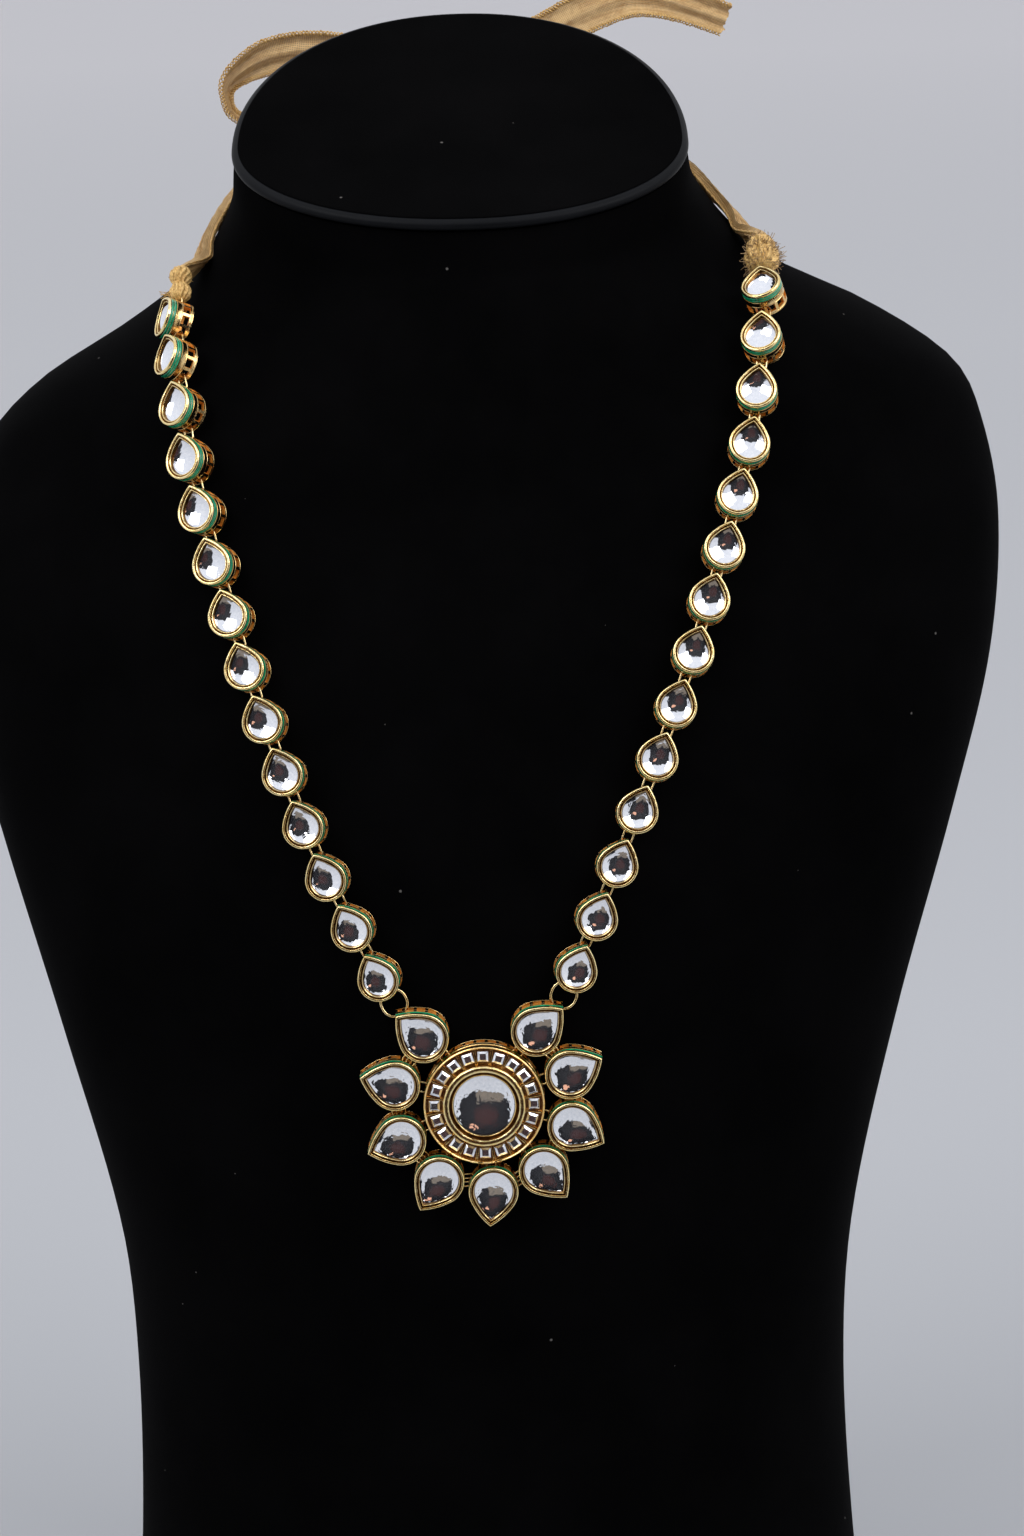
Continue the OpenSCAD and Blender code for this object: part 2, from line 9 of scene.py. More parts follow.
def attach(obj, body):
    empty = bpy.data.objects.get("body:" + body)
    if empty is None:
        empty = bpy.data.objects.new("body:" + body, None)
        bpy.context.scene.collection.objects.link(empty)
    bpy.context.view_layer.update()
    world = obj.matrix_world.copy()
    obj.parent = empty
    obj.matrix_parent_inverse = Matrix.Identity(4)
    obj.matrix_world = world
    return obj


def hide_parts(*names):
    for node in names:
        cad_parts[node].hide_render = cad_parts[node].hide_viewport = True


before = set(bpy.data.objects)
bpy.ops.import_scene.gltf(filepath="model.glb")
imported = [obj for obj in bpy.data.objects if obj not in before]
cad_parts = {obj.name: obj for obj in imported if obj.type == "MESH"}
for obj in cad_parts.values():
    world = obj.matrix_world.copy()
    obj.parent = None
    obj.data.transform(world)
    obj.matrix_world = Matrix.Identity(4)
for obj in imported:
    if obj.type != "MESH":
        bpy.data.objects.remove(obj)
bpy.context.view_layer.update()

# Shapes are worked out in millimetres and laid in place in metres
MM = 0.001

# Bust sections: height, half width at the left and at the right, front, back
BUST_SECTIONS = [
    [0, 101.5, 101.5, -66, 52], [40, 98, 97.5, -65, 52], [90, 97, 95.5, -65.5, 53],
    [130, 100, 98.5, -66.5, 55], [185, 113.5, 111, -67.5, 60], [240, 128.5, 127, -65, 68],
    [280, 138.5, 137.5, -56.5, 74], [315, 137.5, 140.5, -44.5, 79], [340, 129, 136.5, -34.5, 82],
    [355, 114.5, 129, -28, 83], [370, 90, 107, -22.5, 84], [382, 74, 82, -19.5, 85],
    [395, 65.5, 69, -18, 86], [410, 61, 61, -17, 87], [427.5, 59.5, 58, -17, 87],
    [432, 58, 56.5, -17, 87],
]
BUST_HEIGHT = 427.5
NECK_START = 372
NECK_FORWARD = 0.28
NECK_TILT = math.radians(24.25)
OVAL = 2.1
RIM_HEIGHT = 3
OFF_THE_SLOPE = 0.2

# Where the chain lies on the chest: across, height, from the pendant up to the knot
CHAIN_PATHS = {
    "left": [
        [-25.5, 217.5], [-38, 243], [-48, 268], [-56.5, 293], [-63, 317], [-68, 339],
        [-70, 355], [-70.5, 368], [-70.5, 380], [-69.5, 388],
    ],
    "right": [
        [23.5, 218.5], [34.5, 244], [45, 268.5], [54.5, 293], [63, 317.5], [70, 340],
        [73.5, 356], [75.5, 369], [76, 381], [74, 388],
    ],
}
# How far each setting rolls towards the outside: number from the knot, degrees
CHAIN_ROLLS = {
    "left": [[1, 34], [2, 31], [3, 20], [5, 12], [7, 2], [10, -4], [14, -1]],
    "right": [[1, -40], [2, -33], [3, -23], [4, -16], [6, -10], [11, -10], [14, -3]],
}
OUTWARDS = {"left": -1, "right": 1}
LINKS = 14
PITCH = 13.85
LINK_WIDTH = 10.5
LINK_LENGTH = 12.6
LINK_DEPTH = 7
WIRE = 0.5
OFF_THE_BUST = 0.3

# Petals round the centre: place and own turn, in degrees anticlockwise as seen, from the top
# right round by the foot to the top left
PETALS = [
    [54, -13], [18.5, 8], [344, -13], [309.5, 0], [274.5, -11], [239, -3], [203, -3],
    [166.5, -2], [130, 9],
]
PETAL_WIDTH = 12.6
PETAL_LENGTH = 15.4
PETAL_DEPTH = 7.4
DISC_RADIUS = 15.2
DISC_DEPTH = 7.6
DOME_RADIUS = 7.6
BIG_WIRE = 0.7
WIRE_LEVEL = 2
WALL = 0.9
HOLD = 0.3
SQUARES = 20
SQUARE_SIZE = 2.75

# Ribbon from each knot round the neck: ring angle, height, lift off the bust, width
RIBBON_ROWS = {
    "left": [
        [194, 386.5, 1.5, 6], [185, 390, 1, 6], [175, 394, 0.9, 6], [161, 399, 0.9, 6.5],
        [146, 403.5, 1, 7], [128, 407, 1.2, 7], [108, 409, 1.4, 6],
    ],
    "right": [
        [-8, 390, 1.6, 6.5], [1, 393.5, 1.2, 6.5], [10, 397, 1, 6.5], [21, 401, 0.9, 7],
        [36, 405, 1, 7], [54, 407.5, 1.2, 7], [72, 409, 1.4, 6],
    ],
}
RIBBON_START = {"left": 4.5, "right": 6.5}
RIBBON_END = {"left": [-0.85, -0.5, -0.1], "right": [0.85, -0.5, -0.1]}
BOW_MIDDLE = Vector((-3, 94, 424))
BOW_KNOT_RADIUS = 5.6
# Bow behind the neck: x, y, z, width, roll of the width towards the back
BOW_LOOP = [
    [-8, 95.5, 427, 4.5, 0], [-22, 98.5, 433, 9, 10], [-38, 100, 436.5, 10, 10],
    [-53, 100, 435.5, 9.5, 15], [-63.5, 99, 430, 7, 40], [-65.5, 98, 424.5, 5, 65],
    [-62, 96.5, 419, 4.5, 65], [-48, 96, 416, 4.5, 60], [-28, 95.5, 416.5, 4.5, 40],
    [-8.2, 93.8, 421.2, 4, 10],
]
BOW_TAIL = [
    [1.9, 95.4, 426.9, 5, 0], [14, 98.5, 435.5, 8.5, 5], [26, 100, 441.5, 10, 10],
    [37, 100, 446.5, 10.5, 10], [47, 100, 449, 9.5, 15], [57, 100, 448, 9, 10],
    [65, 100, 445.5, 8.5, 0], [73, 100, 442.3, 8, 0],
]
# Knots: direction, radius of the upper lobe, reach of the lower lobe, lobe distance
KNOTS = {
    "left": [[0, 0.65, 0.76], 2.9, 5, 4.9],
    "right": [[-0.05, 0.6, 0.8], 3.7, 7.4, 3.2],
}


# Reading the bust
def section_at(height, column):
    """A column of the bust's sections at any height, in a smooth line through its rows."""
    rows = BUST_SECTIONS
    i = max([k for k in range(len(rows) - 1) if rows[k][0] <= height] or [0])

    def slope(k):
        a, b = rows[max(k - 1, 0)], rows[min(k + 1, len(rows) - 1)]
        return (b[column] - a[column]) / (b[0] - a[0])

    step = rows[i + 1][0] - rows[i][0]
    u = (height - rows[i][0]) / step
    return (
        (2 * u**3 - 3 * u * u + 1) * rows[i][column]
        + (u**3 - 2 * u * u + u) * step * slope(i)
        + (3 * u * u - 2 * u**3) * rows[i + 1][column]
        + (u**3 - u * u) * step * slope(i + 1)
    )


def half_width(height, x):
    return section_at(height, 1 if x < 0 else 2)


def bust_middle(height):
    """The line that the neck slopes round lies at 65 % of the way to the back."""
    return 0.35 * section_at(height, 3) + 0.65 * section_at(height, 4)


def neck_share(height):
    u = max(0, min(1, (height - NECK_START) / (BUST_HEIGHT - NECK_START)))
    return u * u * (3 - 2 * u)


def neck_slope(height):
    return math.tan(NECK_TILT) * neck_share(height)


def widest_place(height):
    """The chest is widest towards the back, the top of the neck at its middle."""
    deep = section_at(height, 4) - section_at(height, 3)
    return bust_middle(height) - NECK_FORWARD * neck_share(height) * deep


def chest_y(x, height):
    """The front of the chest at a place across it, as a y coordinate."""
    middle = widest_place(height)
    u = min(abs(x) / half_width(height, x), 0.999)
    return middle + (section_at(height, 3) - middle) * (1 - u**OVAL) ** (1 / OVAL)


def signed_power(value, power):
    return math.copysign(abs(value) ** power, value)


def bust_point(height, degrees):
    """A point on the bust's outline at that height, anticlockwise from the right as seen from above."""
    angle = math.radians(degrees)
    middle = widest_place(height)
    power = 2 / OVAL
    across, deep = math.cos(angle), math.sin(angle)
    reach = middle - section_at(height, 3) if deep < -1e-9 else section_at(height, 4) - middle
    y = middle + reach * signed_power(deep, power)
    x = half_width(height, across) * signed_power(across, power)
    return Vector((x, y, height + neck_slope(height) * (y - bust_middle(height))))


def chest_normal(x, height):
    return Vector(
        (
            (chest_y(x + 1, height) - chest_y(x - 1, height)) / 2,
            -1,
            (chest_y(x, height + 1) - chest_y(x, height - 1)) / 2,
        )
    ).normalized()


# Lines and frames
def bend_through(before, start, end, after, u):
    """A value at a share u of the way from start to end, in one bend with its neighbours."""
    slope = end - before
    curve = 2 * before - 5 * start + 4 * end - after
    turn = 3 * start - before - 3 * end + after
    return start + 0.5 * (u * slope + u * u * curve + u**3 * turn)


def smooth_rows(rows, steps):
    """A smooth line through rows of numbers, with that many steps between two rows."""
    line = []
    for i in range(len(rows) - 1):
        a, b = rows[max(i - 1, 0)], rows[i]
        c, d = rows[i + 1], rows[min(i + 2, len(rows) - 1)]
        for k in range(steps):
            u = k / steps
            line.append([bend_through(*four, u) for four in zip(a, b, c, d)])
    line.append(list(rows[-1]))
    return line


def read_line(rows, at):
    """The value at a place in rows of (place, value), straight between two rows."""
    for (a, low), (b, high) in zip(rows, rows[1:]):
        if at <= b:
            share = max(0, (at - a) / (b - a))
            return low + (high - low) * share
    return rows[-1][1]


CHAIN_LINES = {}
for side, path in CHAIN_PATHS.items():
    points = [Vector((x, chest_y(x, z), z)) for x, z in smooth_rows(path, 12)]
    reach = [0]
    for p, q in zip(points, points[1:]):
        reach.append(reach[-1] + (q - p).length)
    CHAIN_LINES[side] = [list(zip(reach, [p[c] for p in points])) for c in range(3)]


def chain_point(side, along):
    return Vector([read_line(rows, along) for rows in CHAIN_LINES[side]])


def link_frame(side, number):
    """Middle and directions (across, along, out) of a chain setting."""
    along = (LINKS - number) * PITCH
    roll = math.radians(read_line(CHAIN_ROLLS[side], number))
    p = chain_point(side, along)
    n0 = chest_normal(p.x, p.z)
    t = (chain_point(side, along + 1) - chain_point(side, along - 1)).normalized()
    n1 = (n0 - n0.dot(t) * t).normalized()
    out = OUTWARDS[side] * t.cross(n1)
    n = n1 * math.cos(roll) + out * math.sin(roll)
    lift = OFF_THE_BUST + LINK_WIDTH / 2 * math.sin(abs(roll))
    return [p + n0 * lift, t.cross(n), t, n]


def in_frame(place, point):
    """From a frame (middle, across, along, out) to the bust's own millimetres."""
    return place[0] + point[0] * place[1] + point[1] * place[2] + point[2] * place[3]


def turned(place, degrees):
    """The frame, turned anticlockwise as seen."""
    c, s = math.cos(math.radians(degrees)), math.sin(math.radians(degrees))
    return [place[0], place[1] * c + place[2] * s, place[2] * c - place[1] * s, place[3]]


def frame_matrix(place):
    """Lays a shape that was made in millimetres round the origin into that frame, in metres."""
    m = Matrix.Identity(4)
    for c in range(3):
        m[c][0], m[c][1], m[c][2], m[c][3] = (
            place[1][c] * MM,
            place[2][c] * MM,
            place[3][c] * MM,
            place[0][c] * MM,
        )
    return m


LEAN = math.radians(1)
PENDANT_OUT = Vector((0, -math.cos(LEAN), math.sin(LEAN)))
PENDANT = [
    Vector((-0.2, chest_y(-0.2, 184.8), 184.8)) + OFF_THE_BUST * PENDANT_OUT,
    Vector((1, 0, 0)),
    Vector((0, math.sin(LEAN), math.cos(LEAN))),
    PENDANT_OUT,
]
PETAL_GAP = 1.3
PETAL_REACH = DISC_RADIUS + PETAL_GAP + PETAL_WIDTH / 2


def petal_frame(number):
    angle = math.radians(PETALS[number][0])
    middle = in_frame(PENDANT, [PETAL_REACH * math.cos(angle), PETAL_REACH * math.sin(angle), 0])
    return turned([middle, *PENDANT[1:]], PETALS[number][0] - 90 + PETALS[number][1])


# Working on a mesh
def deselect_all():
    if bpy.context.object and bpy.context.object.mode != "OBJECT":
        bpy.ops.object.mode_set(mode="OBJECT")
    bpy.ops.object.select_all(action="DESELECT")


def take_up(piece):
    deselect_all()
    piece.select_set(True)
    bpy.context.view_layer.objects.active = piece


def edit(piece):
    take_up(piece)
    bpy.ops.object.mode_set(mode="EDIT")


def put_down(piece):
    bpy.ops.object.mode_set(mode="OBJECT")
    piece.select_set(False)


def apply_all(piece):
    take_up(piece)
    for modifier in list(piece.modifiers):
        bpy.ops.object.modifier_apply(modifier=modifier.name)


def smooth(piece, degrees=40):
    take_up(piece)
    bpy.ops.object.shade_smooth_by_angle(angle=math.radians(degrees))


def mark_foil(stone, centre, share_at, lean):
    """Keeps the way that the foil faces under each spot of a stone: it is hollow, so it leans
    in from the edge."""
    foil = stone.data.attributes.new("foil", "FLOAT_VECTOR", "POINT")
    for point, v in zip(foil.data, stone.data.vertices):
        away = v.co.xy - centre
        angle = math.radians(lean) * min(share_at(v.co), 1)
        inwards = -away.normalized() * math.sin(angle)
        point.vector = (inwards.x, inwards.y, math.cos(angle))


def turn_foil(stone, turn):
    for point in stone.data.attributes["foil"].data:
        point.vector = turn @ Vector(point.vector)
    return stone


def join(pieces, name):
    deselect_all()
    for p in pieces:
        p.select_set(True)
    bpy.context.view_layer.objects.active = pieces[0]
    if len(pieces) > 1:
        bpy.ops.object.join()
    pieces[0].name = name
    return pieces[0]


def copy_of(piece, name, matrix):
    twin = piece.copy()
    twin.data = piece.data.copy()
    twin.name = name
    bpy.context.scene.collection.objects.link(twin)
    twin.data.transform(matrix)
    return twin


def discard(*pieces):
    for p in pieces:
        bpy.data.objects.remove(p)


def dress(piece, *finishes):
    piece.data.materials.clear()
    for finish in finishes:
        piece.data.materials.append(finish)


def finish_faces(piece, slot, test):
    """Gives the faces whose middle passes the test the material in that slot."""
    for face in piece.data.polygons:
        if test(face.center):
            face.material_index = slot


def hand_in(piece, slot_name, *nodes):
    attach(piece, "root")
    if nodes:
        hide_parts(*nodes)
    return piece


def wall_of_rows(name, steps, rows, place_row, first_fill=False, last_fill=False, ring_close=False):
    """A ring of points is drawn out row by row: each row is extruded and laid on its line."""
    deselect_all()
    bpy.ops.mesh.primitive_circle_add(vertices=steps, radius=1, fill_type="NOTHING")
    piece = bpy.context.object
    piece.name = name
    bpy.ops.object.mode_set(mode="EDIT")
    bpy.ops.mesh.select_mode(type="VERT")
    bpy.ops.mesh.select_all(action="SELECT")
    mesh = bmesh.from_edit_mesh(piece.data)
    layer = mesh.verts.layers.int.new("step")
    mesh.verts.ensure_lookup_table()
    for i, v in enumerate(mesh.verts):
        v[layer] = i
        v.co = place_row(i, rows[0])
    bmesh.update_edit_mesh(piece.data)
    if first_fill:
        bpy.ops.mesh.select_all(action="SELECT")
        bpy.ops.mesh.duplicate()
        bpy.ops.mesh.edge_face_add()
        bpy.ops.mesh.select_all(action="INVERT")
    for row in rows[1:]:
        bpy.ops.mesh.extrude_edges_move(TRANSFORM_OT_translate={"value": (0, 0, 0.01)})
        mesh = bmesh.from_edit_mesh(piece.data)
        layer = mesh.verts.layers.int["step"]
        for v in mesh.verts:
            if v.select:
                v.co = place_row(v[layer], row)
        bmesh.update_edit_mesh(piece.data)
    if last_fill:
        bpy.ops.mesh.edge_face_add()
    bpy.ops.mesh.select_all(action="SELECT")
    if ring_close or first_fill:
        bpy.ops.mesh.remove_doubles(threshold=0.0005)
    bpy.ops.mesh.normals_make_consistent(inside=False)
    bpy.ops.object.mode_set(mode="OBJECT")
    piece.select_set(False)
    return piece


# Finishes
def start_finish(name):
    finish = bpy.data.materials.new(name)
    finish.use_nodes = True
    tree = finish.node_tree
    shader = tree.nodes["Principled BSDF"]
    where = tree.nodes.new("ShaderNodeTexCoord")
    return finish, tree, shader, where.outputs["Object"]


def speckle(tree, where, scale, detail=3, roughness=0.5, distortion=0):
    node = tree.nodes.new("ShaderNodeTexNoise")
    node.inputs["Scale"].default_value = scale
    node.inputs["Detail"].default_value = detail
    node.inputs["Roughness"].default_value = roughness
    node.inputs["Distortion"].default_value = distortion
    tree.links.new(where, node.inputs["Vector"])
    return node.outputs["Fac"]


def cells(tree, where, scale):
    node = tree.nodes.new("ShaderNodeTexVoronoi")
    node.inputs["Scale"].default_value = scale
    tree.links.new(where, node.inputs["Vector"])
    return node.outputs["Distance"]


def shades(tree, value, *stops):
    """A colour ramp: each stop is a place from 0 to 1 and a colour."""
    node = tree.nodes.new("ShaderNodeValToRGB")
    ramp = node.color_ramp
    while len(ramp.elements) < len(stops):
        ramp.elements.new(0.5)
    for element, (place, colour) in zip(ramp.elements, stops):
        element.position = place
        element.color = (*colour, 1)
    tree.links.new(value, node.inputs["Fac"])
    return node.outputs["Color"]


def spread(tree, value, low, high, to_low=0.0, to_high=1.0):
    node = tree.nodes.new("ShaderNodeMapRange")
    node.inputs["From Min"].default_value = low
    node.inputs["From Max"].default_value = high
    node.inputs["To Min"].default_value = to_low
    node.inputs["To Max"].default_value = to_high
    tree.links.new(value, node.inputs["Value"])
    return node.outputs["Result"]


def blend_colours(tree, amount, first, second, way="MIX"):
    node = tree.nodes.new("ShaderNodeMix")
    node.data_type = "RGBA"
    node.blend_type = way
    for socket, value in ((node.inputs[0], amount), (node.inputs[6], first), (node.inputs[7], second)):
        if isinstance(value, bpy.types.NodeSocket):
            tree.links.new(value, socket)
        else:
            socket.default_value = value if isinstance(value, float) else (*value, 1)
    return node.outputs[2]


def sums(tree, operation, first, second):
    node = tree.nodes.new("ShaderNodeMath")
    node.operation = operation
    for socket, value in zip(node.inputs, (first, second)):
        if isinstance(value, bpy.types.NodeSocket):
            tree.links.new(value, socket)
        else:
            socket.default_value = value
    return node.outputs[0]


def relief(tree, shader, height, strength, distance):
    node = tree.nodes.new("ShaderNodeBump")
    node.inputs["Strength"].default_value = strength
    node.inputs["Distance"].default_value = distance
    tree.links.new(height, node.inputs["Height"])
    tree.links.new(node.outputs["Normal"], shader.inputs["Normal"])
    return node


def black_velvet():
    finish, tree, shader, where = start_finish("black_velvet")
    pile = speckle(tree, where, 2600, 2, 0.7)
    brushed = speckle(tree, where, 22, 4, 0.6)
    lint = cells(tree, where, 260)
    lint_size = speckle(tree, where, 95, 1)
    near = sums(tree, "LESS_THAN", lint, sums(tree, "MULTIPLY", spread(tree, lint_size, 0.66, 0.8), 0.13))
    cloth = shades(tree, brushed, (0.3, (0.0009, 0.0009, 0.001)), (0.75, (0.0022, 0.0021, 0.0023)))
    colour = blend_colours(tree, near, cloth, (0.09, 0.085, 0.08))
    tree.links.new(colour, shader.inputs["Base Color"])
    tree.links.new(spread(tree, pile, 0.3, 0.7, 0.85, 1.0), shader.inputs["Roughness"])
    shader.inputs["Specular IOR Level"].default_value = 0.01
    shader.inputs["Sheen Weight"].default_value = 0.004
    shader.inputs["Sheen Roughness"].default_value = 0.35
    shader.inputs["Sheen Tint"].default_value = (0.7, 0.72, 0.8, 1)
    relief(tree, shader, pile, 0.35, 0.0004)
    return finish


def dark_rim():
    finish, tree, shader, where = start_finish("dark_grey_rim")
    grain = speckle(tree, where, 1400, 3, 0.6)
    handled = speckle(tree, where, 60, 4, 0.6)
    tree.links.new(
        shades(tree, handled, (0.3, (0.0035, 0.004, 0.005)), (0.7, (0.006, 0.0065, 0.008))),
        shader.inputs["Base Color"],
    )
    tree.links.new(spread(tree, handled, 0.3, 0.75, 0.42, 0.56), shader.inputs["Roughness"])
    shader.inputs["Specular IOR Level"].default_value = 0.07
    relief(tree, shader, grain, 0.12, 0.0002)
    return finish


def gold(name, pale, deep, dull, rough, worn=0.25, metal=1.0):
    """Gold plate: it turns from pale to deep in soft patches, with fine dull marks and dents."""
    finish, tree, shader, where = start_finish(name)
    patches = speckle(tree, where, 480, 3, 0.6)
    marks = speckle(tree, where, 2300, 4, 0.65, 0.6)
    plate = shades(tree, patches, (0.32, deep), (0.62, pale))
    spots = spread(tree, marks, 0.64, 0.72, 0.0, worn)
    tree.links.new(blend_colours(tree, spots, plate, dull), shader.inputs["Base Color"])
    shader.inputs["Metallic"].default_value = metal
    tree.links.new(spread(tree, marks, 0.3, 0.75, rough * 0.75, rough * 1.5), shader.inputs["Roughness"])
    relief(tree, shader, sums(tree, "ADD", marks, sums(tree, "MULTIPLY", patches, 2.0)), 0.25, 0.0002)
    return finish


def mirror_stone():
    """Foiled glass with the faint waves of the foil. The foil under a domed glass reflects as
    a hollow mirror does, so the gloss follows the foil and not the top of the dome."""
    finish, tree, shader, where = start_finish("foiled_glass")
    waves = speckle(tree, where, 420, 2, 0.5, 0.4)
    foil = speckle(tree, where, 1500, 3, 0.6)
    tree.links.new(
        shades(tree, foil, (0.3, (0.80, 0.83, 0.90)), (0.7, (0.95, 0.96, 1.0))),
        shader.inputs["Base Color"],
    )
    shader.inputs["Metallic"].default_value = 0.96
    tree.links.new(spread(tree, foil, 0.35, 0.75, 0.015, 0.07), shader.inputs["Roughness"])
    hollow = tree.nodes.new("ShaderNodeAttribute")
    hollow.attribute_name = "foil"
    even = tree.nodes.new("ShaderNodeVectorMath")
    even.operation = "NORMALIZE"
    tree.links.new(hollow.outputs["Vector"], even.inputs[0])
    bump = relief(tree, shader, waves, 0.25, 0.0004)
    tree.links.new(even.outputs[0], bump.inputs["Normal"])
    return finish


def cut_stone():
    finish, tree, shader, where = start_finish("cut_glass")
    foil = speckle(tree, where, 900, 3, 0.6)
    tree.links.new(
        shades(tree, foil, (0.3, (0.62, 0.63, 0.68)), (0.65, (0.97, 0.97, 1.0))),
        shader.inputs["Base Color"],
    )
    shader.inputs["Metallic"].default_value = 0.95
    tree.links.new(spread(tree, foil, 0.3, 0.7, 0.02, 0.12), shader.inputs["Roughness"])
    relief(tree, shader, foil, 0.2, 0.0002)
    return finish


def green_enamel():
    finish, tree, shader, where = start_finish("green_enamel")
    depth = speckle(tree, where, 700, 3, 0.6)
    tree.links.new(
        shades(tree, depth, (0.3, (0.0, 0.15, 0.065)), (0.68, (0.012, 0.42, 0.20))),
        shader.inputs["Base Color"],
    )
    tree.links.new(spread(tree, depth, 0.3, 0.7, 0.12, 0.3), shader.inputs["Roughness"])
    shader.inputs["Coat Weight"].default_value = 0.9
    shader.inputs["Coat Roughness"].default_value = 0.06
    relief(tree, shader, depth, 0.15, 0.0003)
    return finish


def gauze(name, light, dark, solid):
    """Sheer cloth: fine crossed threads on the cloth's own map, and painted shade that makes it darker in
    its wrinkles and along its lengthwise pleats.
    """
    finish, tree, shader, where = start_finish(name)
    own = tree.nodes.new("ShaderNodeUVMap")
    own.uv_map = "cloth"
    warp = tree.nodes.new("ShaderNodeTexWave")
    warp.bands_direction = "X"
    weft = tree.nodes.new("ShaderNodeTexWave")
    weft.bands_direction = "Y"
    for thread in (warp, weft):
        thread.inputs["Scale"].default_value = 700
        thread.inputs["Distortion"].default_value = 0.6
        thread.inputs["Detail"].default_value = 1
        tree.links.new(own.outputs["UV"], thread.inputs["Vector"])
    weave = sums(tree, "MAXIMUM", warp.outputs["Fac"], weft.outputs["Fac"])
    drawn = tree.nodes.new("ShaderNodeMapping")
    drawn.inputs["Scale"].default_value = (1500, 70, 1)
    tree.links.new(own.outputs["UV"], drawn.inputs["Vector"])
    # Lengthwise pleat lines: they shape the bump and also paint shade along the pleats
    pulled = speckle(tree, drawn.outputs["Vector"], 1, 3, 0.6)
    fine = speckle(tree, where, 330, 4, 0.65, 0.8)
    crinkle_and_fold_shade = sums(tree, "MULTIPLY", sums(tree, "ADD", fine, pulled), 0.5)
    # Painted shade: the colour turns dark where the wrinkle and pleat-line noise is low, standing in for the
    # shade in the folds
    cloth = shades(tree, crinkle_and_fold_shade, (0.38, dark), (0.6, light))
    tree.links.new(
        blend_colours(tree, spread(tree, weave, 0.2, 0.9, 0.45, 0.0), cloth, dark),
        shader.inputs["Base Color"],
    )
    tree.links.new(spread(tree, crinkle_and_fold_shade, 0.3, 0.7, 0.35, 0.6), shader.inputs["Roughness"])
    shader.inputs["Sheen Weight"].default_value = 0.12
    shader.inputs["Sheen Roughness"].default_value = 0.4
    shader.inputs["Sheen Tint"].default_value = (1.0, 0.85, 0.6, 1)
    tree.links.new(spread(tree, weave, 0.15, 0.75, solid, 1.0), shader.inputs["Alpha"])
    relief(tree, shader, sums(tree, "ADD", weave, sums(tree, "MULTIPLY", crinkle_and_fold_shade, 3.0)), 0.5, 0.0003)
    return finish


def thread(name, light, dark):
    finish, tree, shader, where = start_finish(name)
    twist = speckle(tree, where, 1600, 3, 0.6)
    tree.links.new(shades(tree, twist, (0.3, dark), (0.65, light)), shader.inputs["Base Color"])
    shader.inputs["Metallic"].default_value = 0.25
    tree.links.new(spread(tree, twist, 0.3, 0.7, 0.35, 0.6), shader.inputs["Roughness"])
    relief(tree, shader, twist, 0.4, 0.0002)
    return finish


VELVET = black_velvet()
RIM = dark_rim()
PALE_GOLD = gold("pale_gold_edge", (1.0, 0.83, 0.44), (0.86, 0.62, 0.24), (0.22, 0.12, 0.03), 0.2)
WALL_GOLD = gold("gold_wall", (0.90, 0.66, 0.32), (0.74, 0.46, 0.16), (0.22, 0.10, 0.03), 0.16)
GROOVE_GOLD = gold(
    "aged_gold_groove", (0.34, 0.18, 0.05), (0.10, 0.045, 0.012), (0.03, 0.015, 0.005), 0.3, worn=0.8
)
INNER_GOLD = gold(
    "amber_inside", (0.95, 0.40, 0.06), (0.70, 0.24, 0.03), (0.16, 0.05, 0.01), 0.34, worn=0.2, metal=0.4
)
WIRE_GOLD = gold("gold_wire", (0.92, 0.74, 0.40), (0.78, 0.53, 0.21), (0.30, 0.16, 0.05), 0.16)
STONE = mirror_stone()
CUT_STONE = cut_stone()
ENAMEL = green_enamel()
GAUZE = gauze("gold_gauze", (0.80, 0.54, 0.24), (0.50, 0.28, 0.09), 0.5)
HEM = thread("gold_hem", (0.86, 0.58, 0.22), (0.38, 0.20, 0.05))
FIBRE = thread("knot_fibres", (0.46, 0.31, 0.16), (0.20, 0.12, 0.05))


# Bust
def model_bust():
    steps = 180
    heights = [0, 0.25, 1, 2.5, *range(8, 260, 7), *range(260, 424, 4), 424.5, 426.5, 427.5]
    inset = {0: 2.2, 0.25: 1.2, 1: 0.4}

    def place(i, height):
        """The bottom edge is rounded: its first rows lie further in."""
        p = bust_point(height, i * 360 / steps)
        middle = Vector((0, bust_middle(height), p.z))
        return p - (p - middle).normalized() * inset.get(height, 0)

    body = wall_of_rows("velvet_bust", steps, heights, place, first_fill=True, last_fill=True)
    body.data.transform(Matrix.Scale(MM, 4))
    dress(body, VELVET)
    smooth(body, 50)
    return hand_in(body, "velvet", "bust_form")


def on_the_slope(point):
    """From the plane of the sloping top, in millimetres above it, to the row frame."""
    turn = Matrix.Rotation(NECK_TILT, 3, "X")
    return turn @ Vector(point) + Vector((0, bust_middle(BUST_HEIGHT), BUST_HEIGHT))


def top_outline(degrees, inset):
    p = bust_point(BUST_HEIGHT, degrees)
    q = Vector((p.x, (p.y - bust_middle(BUST_HEIGHT)) / math.cos(NECK_TILT)))
    return q - inset * Vector((q.x / half_width(BUST_HEIGHT, q.x), q.y / 50)).normalized()


